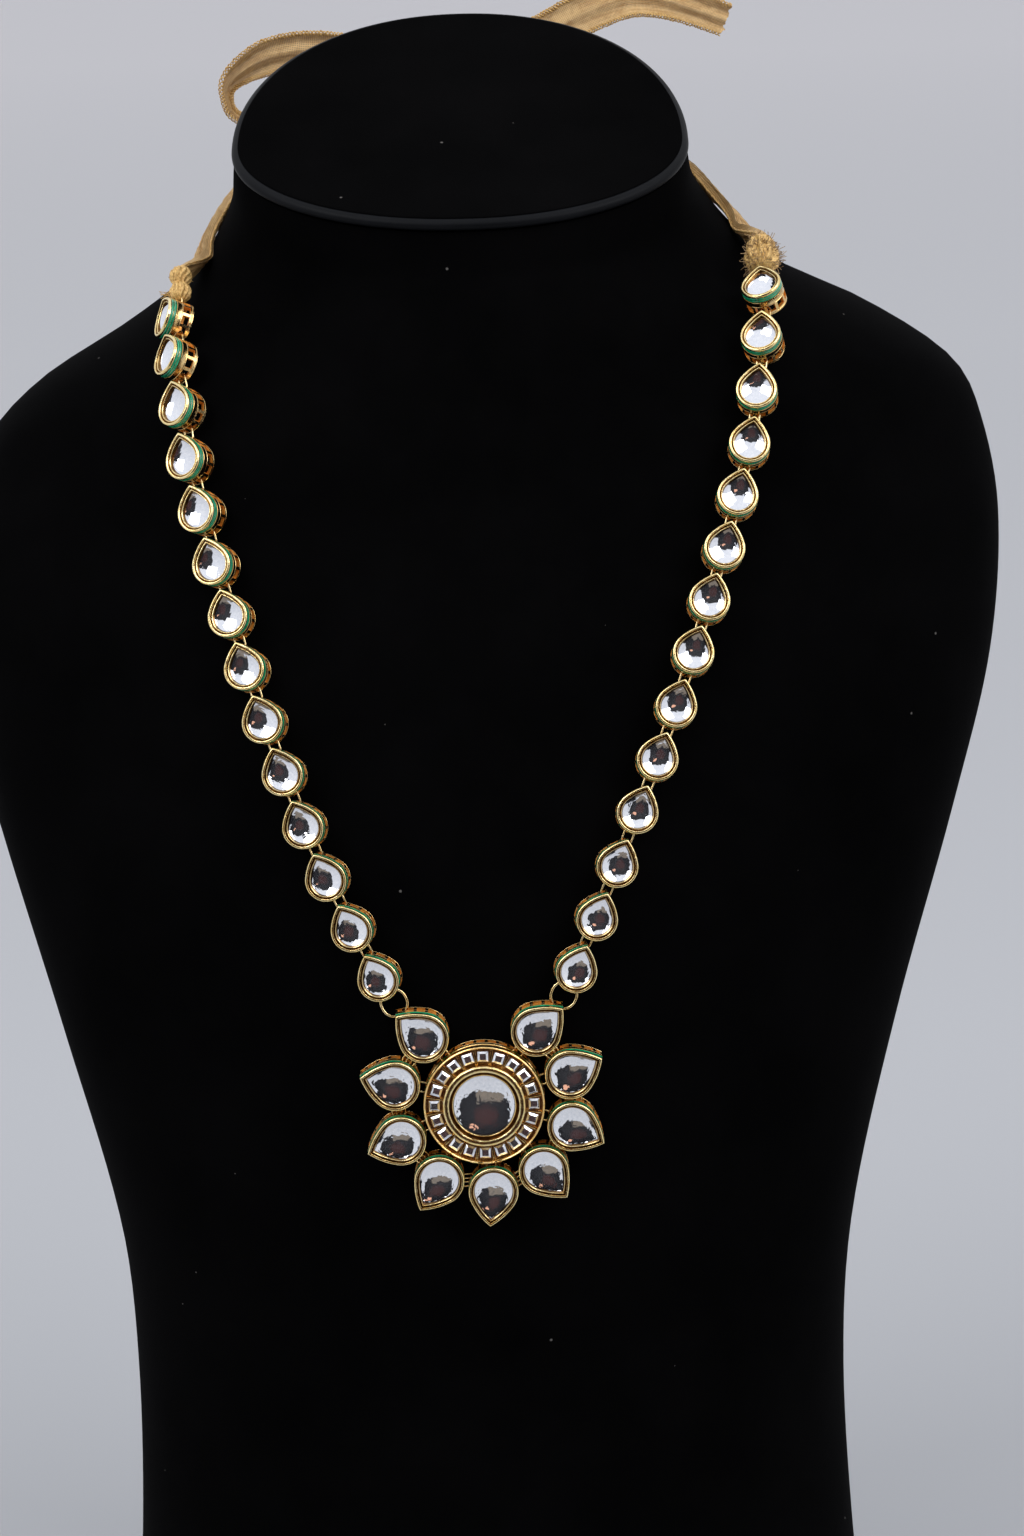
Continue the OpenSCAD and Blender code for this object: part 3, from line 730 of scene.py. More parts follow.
def model_top():
    steps = 160
    h = RIM_HEIGHT
    # Inset from the outline, height over the slope
    edge = [
        [3, 0.4], [3, h - 0.7], [2.75, h - 0.3], [2.2, h - 0.05], [1.5, h + 0.02], [0.7, h - 0.03],
        [0.1, h - 0.22], [-0.45, h - 0.6], [-0.7, h - 1.05], [-0.75, h / 2], [-0.7, 1.05],
        [-0.45, 0.62], [0, 0.36], [0.5, 0.22], [2.6, 0.22], [3, 0.4],
    ]

    def rim_place(i, row):
        q = top_outline(i * 360 / steps, row[0])
        return on_the_slope((q.x, q.y, OFF_THE_SLOPE + row[1]))

    rim = wall_of_rows("neck_rim", steps, edge, rim_place, ring_close=True)
    rim.data.transform(Matrix.Scale(MM, 4))
    dress(rim, RIM)
    smooth(rim, 60)
    hand_in(rim, "rim", "bust_rim")
    # Inset from the outline, share of that outline, height over the slope
    pad = [
        [3.2, 1, 0.25], [3.2, 1, h - 0.1], [3.0, 1, h + 0.06], [1.5, 1, h + 0.06],
        [1.3, 1, h + 0.1], [1.2, 1, h + 0.18], [1.3, 1, h + 0.26], [1.6, 1, h + 0.31],
        [2.5, 1, h + 0.32], [5, 1, h + 0.32], [7, 0.9, h + 0.32], [7, 0.7, h + 0.32],
        [7, 0.45, h + 0.32], [7, 0.2, h + 0.32],
    ]

    def pad_place(i, row):
        q = top_outline(i * 360 / steps, row[0]) * row[1]
        lump = 0.1 * noise.noise(Vector((q.x, q.y, 0)) * 0.05) if row[1] < 1 else 0
        return on_the_slope((q.x, q.y, OFF_THE_SLOPE + row[2] + lump))

    plate = wall_of_rows("neck_plate", steps, pad, pad_place, first_fill=True, last_fill=True)
    plate.data.transform(Matrix.Scale(MM, 4))
    dress(plate, VELVET)
    smooth(plate, 50)
    hand_in(plate, "velvet", "bust_top")


# Pear settings
class Pear:
    """A pear outline with its round end at the origin and its tip along +Y."""

    def __init__(self, width, length):
        self.round = width / 2
        self.tip = length - self.round
        r, t = self.round, self.tip
        self.flank = (t * t + r * r - t * r) / (2 * (r - t / 2))
        self.cx = (self.flank - r) * math.cos(math.radians(30))
        self.cy = -(self.flank - r) * 0.5
        self.top = math.degrees(math.acos(self.cx / self.flank))
        self.bend = r * math.radians(120)
        self.half = self.bend + self.flank * math.radians(self.top - 30)

    def point(self, along, inset):
        """The outline at a distance from the middle of the round end, moved inwards."""
        reach = min(abs(along), self.half)
        if reach <= self.bend:
            angle = -90 + 120 * reach / self.bend
            x = (self.round - inset) * math.cos(math.radians(angle))
            y = (self.round - inset) * math.sin(math.radians(angle))
        else:
            big = self.flank - inset
            top = math.degrees(math.acos(self.cx / big))
            angle = 30 + (top - 30) * (reach - self.bend) / (self.half - self.bend)
            x = big * math.cos(math.radians(angle)) - self.cx
            y = big * math.sin(math.radians(angle)) + self.cy
        return (max(x, 0) if along >= 0 else min(-x, 0)), y

    def windows(self, shift):
        """Windows of the gallery, as distances along the outline; shift moves the two at the foot."""
        found = []
        for sign in (1, -1):
            start = 0.45 + sign * shift
            end = self.half - 2.45
            count = max(1, round((end - start + 0.8) / 2.95))
            size = (end - start + 0.8) / count - 0.8
            for k in range(count):
                a = start + k * (size + 0.8)
                found.append(sorted((sign * a, sign * (a + size))))
            found.append(sorted((sign * (self.half - 1.65), sign * (self.half - 0.5))))
        return found

    def stops(self, windows):
        """Where the outline gets its points: at each window's two sides and close between."""
        marks = sorted({round(m, 4) for w in windows for m in w} | {0.0, self.bend, -self.bend, self.half})
        marks = [-self.half, *[m for m in marks if m > -self.half]]
        stops = []
        for a, b in zip(marks, marks[1:]):
            parts = max(1, math.ceil((b - a) / 0.55))
            stops += [a + (b - a) * k / parts for k in range(parts)]
        return stops


LINK = Pear(LINK_WIDTH, LINK_LENGTH)
PETAL = Pear(PETAL_WIDTH, PETAL_LENGTH)

WINDOW_LOW = 1
WINDOW_HIGH = 3
NEAR = 0.01
BAND_LOW = 4.69
PALE_EDGE, WALL_SIDE, GROOVE, INSIDE = range(4)


def setting_rows(depth):
    """Inset and level up the outside of a setting, over its edge and down to the stone's seat."""
    return [
        [0.9, 3.2], [0.9, WINDOW_HIGH], [0.9, WINDOW_LOW], [0.9, 0.1], [0.8, 0], [0.12, 0], [0, 0.1],
        [0, 0.42], [0.09, 0.5], [0, 0.58], [0, WINDOW_LOW], [0, WINDOW_HIGH], [0, 3.12],
        [0.07, 3.2], [0, 3.28], [0, 4.5], [-0.05, 4.58], [0, 4.67], [0.45, 4.7], [0.45, 6.2],
        [0.02, 6.23], [-0.02, 6.34], [0, depth - 0.4], [0.1, depth - 0.15], [0.27, depth - 0.02],
        [0.46, depth + 0.02], [0.62, depth - 0.05], [0.7, depth - 0.22], [0.76, depth - 0.52],
        [0.85, depth - 0.7], [0.95, depth - 0.66], [1.02, depth - 0.46], [1.1, depth - 0.38],
        [1.22, depth - 0.38], [1.32, depth - 0.52], [1.4, depth - 0.95], [1.52, depth - 1.36],
        [1.6, depth - 1.6],
    ]


def open_windows(piece, count, open_steps):
    """Opens a wall of rows at these steps between the window levels, through both its skins,
    and closes the cut edges between the skins."""
    mesh = bmesh.new()
    mesh.from_mesh(piece.data)
    layer = mesh.verts.layers.int["step"]

    def at_windows(part):
        levels = [v.co.z for v in part.verts]
        return min(levels) > WINDOW_LOW - NEAR and max(levels) < WINDOW_HIGH + NEAR

    gone = []
    for face in mesh.faces:
        steps = sorted({v[layer] for v in face.verts})
        if len(steps) == 2 and at_windows(face):
            if (steps[0] if steps != [0, count - 1] else count - 1) in open_steps:
                gone.append(face)
    bmesh.ops.delete(mesh, geom=gone, context="FACES_ONLY")
    loose = [e for e in mesh.edges if not e.link_faces]
    bmesh.ops.delete(mesh, geom=loose, context="EDGES")
    rims = [e for e in mesh.edges if len(e.link_faces) == 1 and at_windows(e)]
    corners = {}
    for v in {v for e in rims for v in e.verts}:
        corners.setdefault((v[layer], round(v.co.z)), []).append(v)
    for e in rims:
        a, b = e.verts
        other_a = [v for v in corners[(a[layer], round(a.co.z))] if v is not a]
        other_b = [v for v in corners[(b[layer], round(b.co.z))] if v is not b]
        if other_a and other_b and mesh.faces.get([a, b, other_b[0], other_a[0]]) is None:
            mesh.faces.new([a, b, other_b[0], other_a[0]])
    bmesh.ops.recalc_face_normals(mesh, faces=mesh.faces)
    mesh.to_mesh(piece.data)
    mesh.free()


def model_setting(pear, depth, shift, name):
    windows = pear.windows(shift)
    stops = pear.stops(windows)

    def place(i, row):
        x, y = pear.point(stops[i], row[0])
        wobble = 0.05 * noise.noise(Vector((x, y, row[1])) * 0.9) if row[1] > 6.4 else 0
        return Vector((x, y, row[1] + wobble))

    piece = wall_of_rows(name, len(stops), setting_rows(depth), place, last_fill=True)
    dress(piece, PALE_GOLD, WALL_GOLD, GROOVE_GOLD, INNER_GOLD)
    open_steps = set()
    for i, (here, following) in enumerate(zip(stops, [*stops[1:], pear.half])):
        if any(a < (here + following) / 2 < b for a, b in windows):
            open_steps.add(i)
    open_windows(piece, len(stops), open_steps)

    def reach_in(middle):
        return min((Vector(pear.point(stop, 0)) - middle.xy).length for stop in stops)

    for face in piece.data.polygons:
        level, deep = face.center.z, reach_in(face.center)
        if level > depth - 0.8:
            face.material_index = GROOVE if 0.71 < deep < 1.0 or deep > 1.33 else PALE_EDGE
        elif level > BAND_LOW:
            face.material_index = GROOVE if deep > WALL else PALE_EDGE
        elif deep > 0.85 or 3.1 < level < 3.25 and deep > 0.5 or deep > 0.25 and level > 0.9:
            face.material_index = INSIDE
        else:
            face.material_index = WALL_SIDE
    smooth(piece, 38)
    return piece


# A stone is drawn out from a row under its edge, through shares of its own outline
UNDER_THE_EDGE = 2


def model_pear_stone(pear, depth, rise, lean, name):
    stops = pear.stops([])
    centre = Vector((0, (pear.tip - pear.round) / 2 * 0.8))
    rows = [UNDER_THE_EDGE, 1, 0.985, 0.95, 0.88, 0.78, 0.66, 0.53, 0.4, 0.27, 0.14]
    half = pear.round - 1.58
    radius = (half * half + rise * rise) / (2 * rise)

    def place(i, share):
        if share == UNDER_THE_EDGE:
            return Vector((*pear.point(stops[i], 1.6), depth - 1.9))
        q = centre + (Vector(pear.point(stops[i], 1.56)) - centre) * share
        drop = radius - math.sqrt(radius**2 - (half * share) ** 2)
        return Vector((q.x, q.y, depth - 1.38 + rise - drop))

    def share_at(spot):
        drop = min(depth - 1.38 + rise - spot.z, rise)
        return math.sqrt(max(radius**2 - (radius - drop) ** 2, 0)) / half

    stone = wall_of_rows(name, len(stops), rows, place, first_fill=True, last_fill=True)
    dress(stone, STONE)
    smooth(stone, 75)
    mark_foil(stone, centre, share_at, lean)
    return stone


def model_band(pear, name):
    stops = pear.stops([])
    # Inset and level round the band, with a gold line along its middle
    rows = [
        [0.42, 4.74], [0.08, 4.76], [0.0, 4.86], [-0.03, 5.1], [-0.01, 5.32], [0.07, 5.39],
        [0.07, 5.47], [-0.01, 5.54], [-0.03, 5.8], [0.0, 6.04], [0.08, 6.15], [0.42, 6.17],
        [0.42, 4.74],
    ]

    def place(i, row):
        x, y = pear.point(stops[i], row[0])
        return Vector((x, y, row[1]))

    band = wall_of_rows(name, len(stops), rows, place, ring_close=True)
    dress(band, ENAMEL, WALL_GOLD)
    finish_faces(band, 1, lambda middle: 5.36 < middle.z < 5.5)
    smooth(band, 50)
    return band


# Wire rings
def model_ring(a, b, out, radius, wire):
    """A jump ring drawn out from a to b; out is the direction that it is seen from."""
    deselect_all()
    bpy.ops.mesh.primitive_torus_add(
        major_segments=32, minor_segments=10, major_radius=radius, minor_radius=wire / 2
    )
    ring = bpy.context.object
    ring.name = "ring"
    stretch = ((b - a).length - 2 * radius) / 2
    for v in ring.data.vertices:
        if abs(v.co.y) > 1e-4:
            v.co.y += math.copysign(stretch, v.co.y)
    along = (b - a).normalized()
    up = (out - out.dot(along) * along).normalized()
    ring.data.transform(frame_matrix([(a + b) / 2, along.cross(up), along, up]))
    dress(ring, WIRE_GOLD)
    take_up(ring)
    bpy.ops.object.shade_smooth()
    return ring


LINK_FOOT = [0, WALL - LINK_LENGTH / 2 + HOLD + WIRE / 2, WIRE_LEVEL]
LINK_TIP = [0, LINK_LENGTH / 2 - WALL - HOLD - WIRE / 2, WIRE_LEVEL]
RING_RADIUS = 1.25
BIG_RING_SPARE = 0.4
KNOT_RING = 4.6
# Small rings between two petals: distances along the petal, how far in, radius and wire
SIDE_RING_PLACES = [6.6, 9.4]
SIDE_RING_INSET = 1.3
SIDE_RING_RADIUS = 0.55
SIDE_WIRE = 0.4
SHORTEST_SIDE_RING = 1.8
LONGEST_SIDE_RING = 7


def knot_way(side):
    return Vector(KNOTS[side][0]).normalized()


def knot_root(side):
    """Where the ring that holds the knot passes through the first setting's eye."""
    return in_frame(link_frame(side, 1), [LINK_TIP[0], LINK_TIP[1] - 0.06, LINK_TIP[2]])


def knot_lobe(side, upper):
    reach = KNOTS[side][2] + (KNOTS[side][3] if upper else 0)
    return knot_root(side) + reach * knot_way(side)


def model_chain():
    setting = model_setting(LINK, LINK_DEPTH, 0, "setting_pattern")
    stone = model_pear_stone(LINK, LINK_DEPTH, 1.35, 30, "stone_pattern")
    band = model_band(LINK, "band_pattern")
    shift = Matrix.Translation((0, LINK.round - LINK_LENGTH / 2, 0))
    for side in ("left", "right"):
        stones, bands, rings = [], [], []
        for number in range(1, LINKS + 1):
            place = frame_matrix(link_frame(side, number)) @ shift
            node = f"link_{side}_{number:02d}"
            hand_in(copy_of(setting, f"setting_{side}_{number:02d}", place), "gold", node)
            out = link_frame(side, number)[3]
            to_front = out.rotation_difference(out.lerp(PENDANT_OUT, 0.4)).to_matrix()
            turn = to_front @ place.to_3x3().normalized()
            stones.append(turn_foil(copy_of(stone, "stone", place), turn))
            bands.append(copy_of(band, "band", place))
        for number in range(1, LINKS):
            here, below = link_frame(side, number), link_frame(side, number + 1)
            a, b = in_frame(here, LINK_FOOT), in_frame(below, LINK_TIP)
            rings.append(model_ring(a, b, here[3] + below[3], RING_RADIUS, WIRE))
        root = knot_root(side)
        rings.append(
            model_ring(root, root + KNOT_RING * knot_way(side), link_frame(side, 1)[3], RING_RADIUS, WIRE)
        )
        hand_in(join(stones, f"pear_stones_{side}"), "stone", f"stones_{side}")
        hand_in(join(bands, f"enamel_bands_{side}"), "enamel", f"enamel_{side}")
        hand_in(join(rings, f"chain_rings_{side}"), "gold", f"rings_{side}")
    discard(setting, stone, band)


# Pendant
CHANNEL_LEVEL = DISC_DEPTH - 1.6
CHANNEL_OUT = DISC_RADIUS - 0.6
CHANNEL_IN = DISC_RADIUS - 4.85
COLLAR_LEVEL = DISC_DEPTH + 1.2
SEAT = DOME_RADIUS + 0.12


def disc_angles():
    """Where the disc's wall gets its points, and its windows: two beside each petal's ring."""
    windows = []
    places = sorted(p[0] for p in PETALS)
    step = math.degrees(1 / DISC_RADIUS)
    for k, angle in enumerate(places):
        following = places[(k + 1) % len(places)] + (360 if k + 1 == len(places) else 0)
        windows.append([angle - 2.55 * step, angle - 0.45 * step])
        windows.append([angle + 0.45 * step, angle + 2.55 * step])
        start, end = angle + 3.35 * step, following - 3.35 * step
        count = max(1, round((end - start) / (2.9 * step)))
        size = (end - start + 0.8 * step) / count - 0.8 * step
        for n in range(count):
            windows.append([start + n * (size + 0.8 * step), start + n * (size + 0.8 * step) + size])
    marks = sorted({round(m % 360, 4) for w in windows for m in w})
    angles = []
    for a, b in zip(marks, [*marks[1:], marks[0] + 360]):
        parts = max(1, math.ceil((b - a) / 2.2))
        angles += [a + (b - a) * n / parts for n in range(parts)]
    return angles, windows


def model_disc():
    angles, windows = disc_angles()
    h = DISC_DEPTH
    # Radius and level up the wall, over the channel and the collar, down to the stone's seat
    rows = [
        [DISC_RADIUS - 1, 3.2], [DISC_RADIUS - 1, WINDOW_HIGH], [DISC_RADIUS - 1, WINDOW_LOW],
        [DISC_RADIUS - 1, 0.1], [DISC_RADIUS - 0.9, 0], [DISC_RADIUS - 0.1, 0], [DISC_RADIUS, 0.1],
        [DISC_RADIUS, 0.42], [DISC_RADIUS - 0.09, 0.5], [DISC_RADIUS, 0.58],
        [DISC_RADIUS, WINDOW_LOW], [DISC_RADIUS, WINDOW_HIGH], [DISC_RADIUS, 3.15],
        [DISC_RADIUS - 0.1, 3.25], [DISC_RADIUS, 3.35], [DISC_RADIUS, 4.7],
        [DISC_RADIUS - 0.12, 4.8], [DISC_RADIUS - 0.12, 6], [DISC_RADIUS, 6.1],
        [DISC_RADIUS, h - 0.35], [DISC_RADIUS - 0.08, h - 0.12], [DISC_RADIUS - 0.28, h],
        [DISC_RADIUS - 0.48, h - 0.1], [CHANNEL_OUT, h - 0.35], [CHANNEL_OUT - 0.02, CHANNEL_LEVEL],
        [CHANNEL_IN + 0.02, CHANNEL_LEVEL], [CHANNEL_IN, COLLAR_LEVEL - 0.6],
        [CHANNEL_IN - 0.1, COLLAR_LEVEL - 0.25], [CHANNEL_IN - 0.35, COLLAR_LEVEL - 0.05],
        [CHANNEL_IN - 0.75, COLLAR_LEVEL + 0.02], [CHANNEL_IN - 1.2, COLLAR_LEVEL - 0.04],
        [CHANNEL_IN - 1.5, COLLAR_LEVEL - 0.22], [CHANNEL_IN - 1.62, COLLAR_LEVEL - 0.7],
        [SEAT + 0.8, COLLAR_LEVEL - 1.5], [SEAT + 0.5, COLLAR_LEVEL - 1.5],
        [SEAT + 0.38, COLLAR_LEVEL - 1.2], [SEAT + 0.2, COLLAR_LEVEL - 1.08],
        [SEAT + 0.04, COLLAR_LEVEL - 1.16],
        [SEAT, COLLAR_LEVEL - 3],
    ]

    def place(i, row):
        a = math.radians(angles[i])
        x, y = row[0] * math.cos(a), row[0] * math.sin(a)
        ripple = 0.06 * noise.noise(Vector((x, y, 0)) * 0.8) if row[1] > h - 0.2 else 0
        return Vector((x, y, row[1] + ripple))

    disc = wall_of_rows("centre_setting", len(angles), rows, place, last_fill=True)
    dress(disc, PALE_GOLD, WALL_GOLD, GROOVE_GOLD, INNER_GOLD)
    open_steps = set()
    for i, (here, following) in enumerate(zip(angles, [*angles[1:], angles[0] + 360])):
        middle = (here + following) / 2
        for low, high in windows:
            if any(low < middle + turn < high for turn in (-360, 0, 360)):
                open_steps.add(i)
    open_windows(disc, len(angles), open_steps)
    for face in disc.data.polygons:
        level, reach = face.center.z, face.center.xy.length
        if reach < DISC_RADIUS - 0.2 and level < 4:
            face.material_index = INSIDE
        elif reach < SEAT + 0.45 and level > COLLAR_LEVEL - 1.5:
            face.material_index = PALE_EDGE
        elif reach < CHANNEL_IN - 1.52:
            face.material_index = GROOVE
        elif reach > CHANNEL_IN - 0.05:
            face.material_index = WALL_SIDE
        else:
            face.material_index = PALE_EDGE
    bars = []
    for k in range(SQUARES):
        bpy.ops.mesh.primitive_cube_add(size=1)
        bar = bpy.context.object
        bar.data.transform(
            Matrix.Rotation(math.radians((k + 0.5) * 360 / SQUARES), 4, "Z")
            @ Matrix.Translation(((CHANNEL_IN + CHANNEL_OUT) / 2, 0, CHANNEL_LEVEL + 0.3))
            @ Matrix.Diagonal((CHANNEL_OUT - CHANNEL_IN + 0.2, 0.62, 1.1, 1))
        )
        edit(bar)
        bpy.ops.mesh.select_all(action="SELECT")
        bpy.ops.mesh.bevel(offset=0.16, segments=2, affect="EDGES")
        put_down(bar)
        dress(bar, PALE_GOLD, WALL_GOLD)
        finish_faces(bar, WALL_SIDE, lambda middle: True)
        bars.append(bar)
    disc = join([disc, *bars], "centre_setting")
    smooth(disc, 40)
    disc.data.transform(frame_matrix(PENDANT))
    return hand_in(disc, "gold", "centre_disc")


def model_dome():
    steps = 96
    rise = 2.3
    radius = (DOME_RADIUS**2 + rise**2) / (2 * rise)
    rows = [UNDER_THE_EDGE, 1, 0.985, 0.95, 0.88, 0.78, 0.66, 0.54, 0.42, 0.3, 0.18, 0.07]

    def place(i, share):
        a = math.radians(i * 360 / steps)
        reach = DOME_RADIUS * min(share, 1)
        drop = radius - math.sqrt(radius**2 - reach**2)
        level = COLLAR_LEVEL - 3.0 if share > 1 else COLLAR_LEVEL + 0.75 - drop
        return Vector((reach * math.cos(a), reach * math.sin(a), level))

    dome = wall_of_rows("middle_stone", steps, rows, place, first_fill=True, last_fill=True)
    dress(dome, STONE)
    smooth(dome, 75)
    mark_foil(dome, Vector((0, 0)), lambda at: at.xy.length / DOME_RADIUS, 24.5)
    dome.data.transform(frame_matrix(PENDANT))
    turn_foil(dome, frame_matrix(PENDANT).to_3x3().normalized())
    return hand_in(dome, "stone", "centre_stone")


def model_square_stones():
    """Square cut stones: a cube whose top is inset for the table and sunk at its corners."""
    reach = (CHANNEL_IN + CHANNEL_OUT) / 2
    stones = []
    deselect_all()
    for k in range(SQUARES):
        bpy.ops.mesh.primitive_cube_add(size=1)
        stone = bpy.context.object
        block = Matrix.Diagonal((SQUARE_SIZE, SQUARE_SIZE, 0.7, 1))
        stone.data.transform(block @ Matrix.Translation((0, 0, 0.5)))
        edit(stone)
        bpy.ops.mesh.select_mode(type="FACE")
        bpy.ops.mesh.select_all(action="DESELECT")
        mesh = bmesh.from_edit_mesh(stone.data)
        for face in mesh.faces:
            face.select = face.normal.z > 0.9
        bmesh.update_edit_mesh(stone.data)
        bpy.ops.mesh.extrude_region_move(TRANSFORM_OT_translate={"value": (0, 0, 0.42)})
        bpy.ops.transform.resize(value=(0.56, 0.56, 1))
        bpy.ops.mesh.select_all(action="SELECT")
        bpy.ops.mesh.bevel(offset=0.06, segments=1, affect="EDGES")
        put_down(stone)
        tip = Matrix.Rotation(math.radians(4 * math.sin(k * 2.3)), 4, "X")
        stone.data.transform(
            Matrix.Rotation(math.radians(k * 360 / SQUARES), 4, "Z")
            @ Matrix.Translation((reach, 0, CHANNEL_LEVEL + 0.08))
            @ tip
        )
        dress(stone, CUT_STONE)
        stones.append(stone)
    stones = join(stones, "channel_stones")
    stones.data.transform(frame_matrix(PENDANT))
    return hand_in(stones, "stone", "square_stones")


def petal_point(number, along, inset):
    """A point on a petal's outline at the level of the rings."""
    x, y = PETAL.point(along, inset)
    return in_frame(petal_frame(number), [x, y, WIRE_LEVEL])


def model_petals():
    stone = model_pear_stone(PETAL, PETAL_DEPTH, 2.1, 27, "petal_stone_pattern")
    band = model_band(PETAL, "petal_band_pattern")
    stones, bands, rings = [], [], []
    for k, (angle, turn) in enumerate(PETALS):
        place = frame_matrix(petal_frame(k))
        shift = -math.radians(turn) * PETAL.round
        setting = model_setting(PETAL, PETAL_DEPTH, shift, f"petal_setting_{k + 1:02d}")
        setting.data.transform(place)
        hand_in(setting, "gold", f"petal_{k + 1:02d}")
        stones.append(turn_foil(copy_of(stone, "stone", place), place.to_3x3().normalized()))
        bands.append(copy_of(band, "band", place))
        faced = turned(petal_frame(k), -turn)
        a = in_frame(faced, [0, WALL + HOLD + WIRE / 2 - PETAL.round, WIRE_LEVEL])
        spot = math.radians(angle)
        reach = DISC_RADIUS - 1 - HOLD - WIRE / 2
        b = in_frame(PENDANT, [reach * math.cos(spot), reach * math.sin(spot), WIRE_LEVEL])
        rings.append(model_ring(a, b, PENDANT_OUT, RING_RADIUS, WIRE))
    for side, k in (("left", 8), ("right", 0)):
        last = link_frame(side, LINKS)
        g = petal_frame(k)
        a = in_frame(last, [LINK_FOOT[0], LINK_FOOT[1] + 0.1, LINK_FOOT[2]])
        b = in_frame(g, [0, PETAL.tip - WALL - HOLD - BIG_WIRE / 2, WIRE_LEVEL])
        radius = ((b - a).length - BIG_RING_SPARE) / 2
        rings.append(model_ring(a, b, last[3] + g[3], radius, BIG_WIRE))
    for k in range(len(PETALS) - 1):
        for reach in SIDE_RING_PLACES:
            a = petal_point(k, reach, SIDE_RING_INSET)
            b = petal_point(k + 1, -reach, SIDE_RING_INSET)
            if SHORTEST_SIDE_RING < (b - a).length < LONGEST_SIDE_RING:
                rings.append(model_ring(a, b, PENDANT_OUT, SIDE_RING_RADIUS, SIDE_WIRE))
    discard(stone, band)
    hand_in(join(stones, "petal_pear_stones"), "stone", "petal_stones")
    hand_in(join(bands, "petal_enamel_bands"), "enamel", "enamel_petals")
    hand_in(join(rings, "pendant_wire_rings"), "gold", "pendant_rings")


# Ribbons
GAUZE_THICKNESS = 0.09
FOLD_POINTS = 8
RIBBON_CUT = 24
BOW_CUT = 11


def cloth_stations(rows):
    """Rows of middle, width direction and width become stations with a thickness direction."""
    stations = []
    for i, (p, w0, width) in enumerate(rows):
        t = (rows[min(i + 1, len(rows) - 1)][0] - rows[max(i - 1, 0)][0]).normalized()
        w = (w0 - w0.dot(t) * t).normalized()
        stations.append([p, w, t.cross(w), width])
    return stations


def ribbon_rows(side):
    """Stations of a ribbon from its knot round the neck to the bow: middle, width direction, width."""
    rest = []
    for angle, height, lift, width in RIBBON_ROWS[side]:
        p = bust_point(height, angle)
        up = (bust_point(height + 1, angle) - bust_point(height - 1, angle)).normalized()
        way = (bust_point(height, angle + 1) - bust_point(height, angle - 1)).normalized()
        n = way.cross(up).normalized()
        rest.append([*(p + n * lift), *up, width])
    lobe = knot_lobe(side, True)
    way = (Vector(rest[0][:3]) - lobe).normalized()
    tucked = lobe + (KNOTS[side][1] - 0.6) * way
    start = [*tucked, *Vector((0, -0.35, 1)).normalized(), RIBBON_START[side]]
    bow_edge = BOW_MIDDLE + (BOW_KNOT_RADIUS - 0.8) * Vector(RIBBON_END[side]).normalized()
    end = [*bow_edge, 0, 0, 1, 4.5]
    flat = smooth_rows([start, *rest, end], 14)
    return [(Vector(q[:3]), Vector(q[3:6]), q[6]) for q in flat]


def bow_rows(rows):
    """Stations of the bow from its rows, with each roll turned to a width direction."""
    line = smooth_rows(rows, 12)
    found = []
    for i, (x, y, z, width, roll) in enumerate(line):
        a, b = line[max(i - 1, 0)], line[min(i + 1, len(line) - 1)]
        t = Vector((b[0] - a[0], b[2] - a[2])).normalized()
        c, s = math.cos(math.radians(roll)), math.sin(math.radians(roll))
        found.append((Vector((x, y, z)), Vector((-t.y * c, s, t.x * c)), width))
    return found


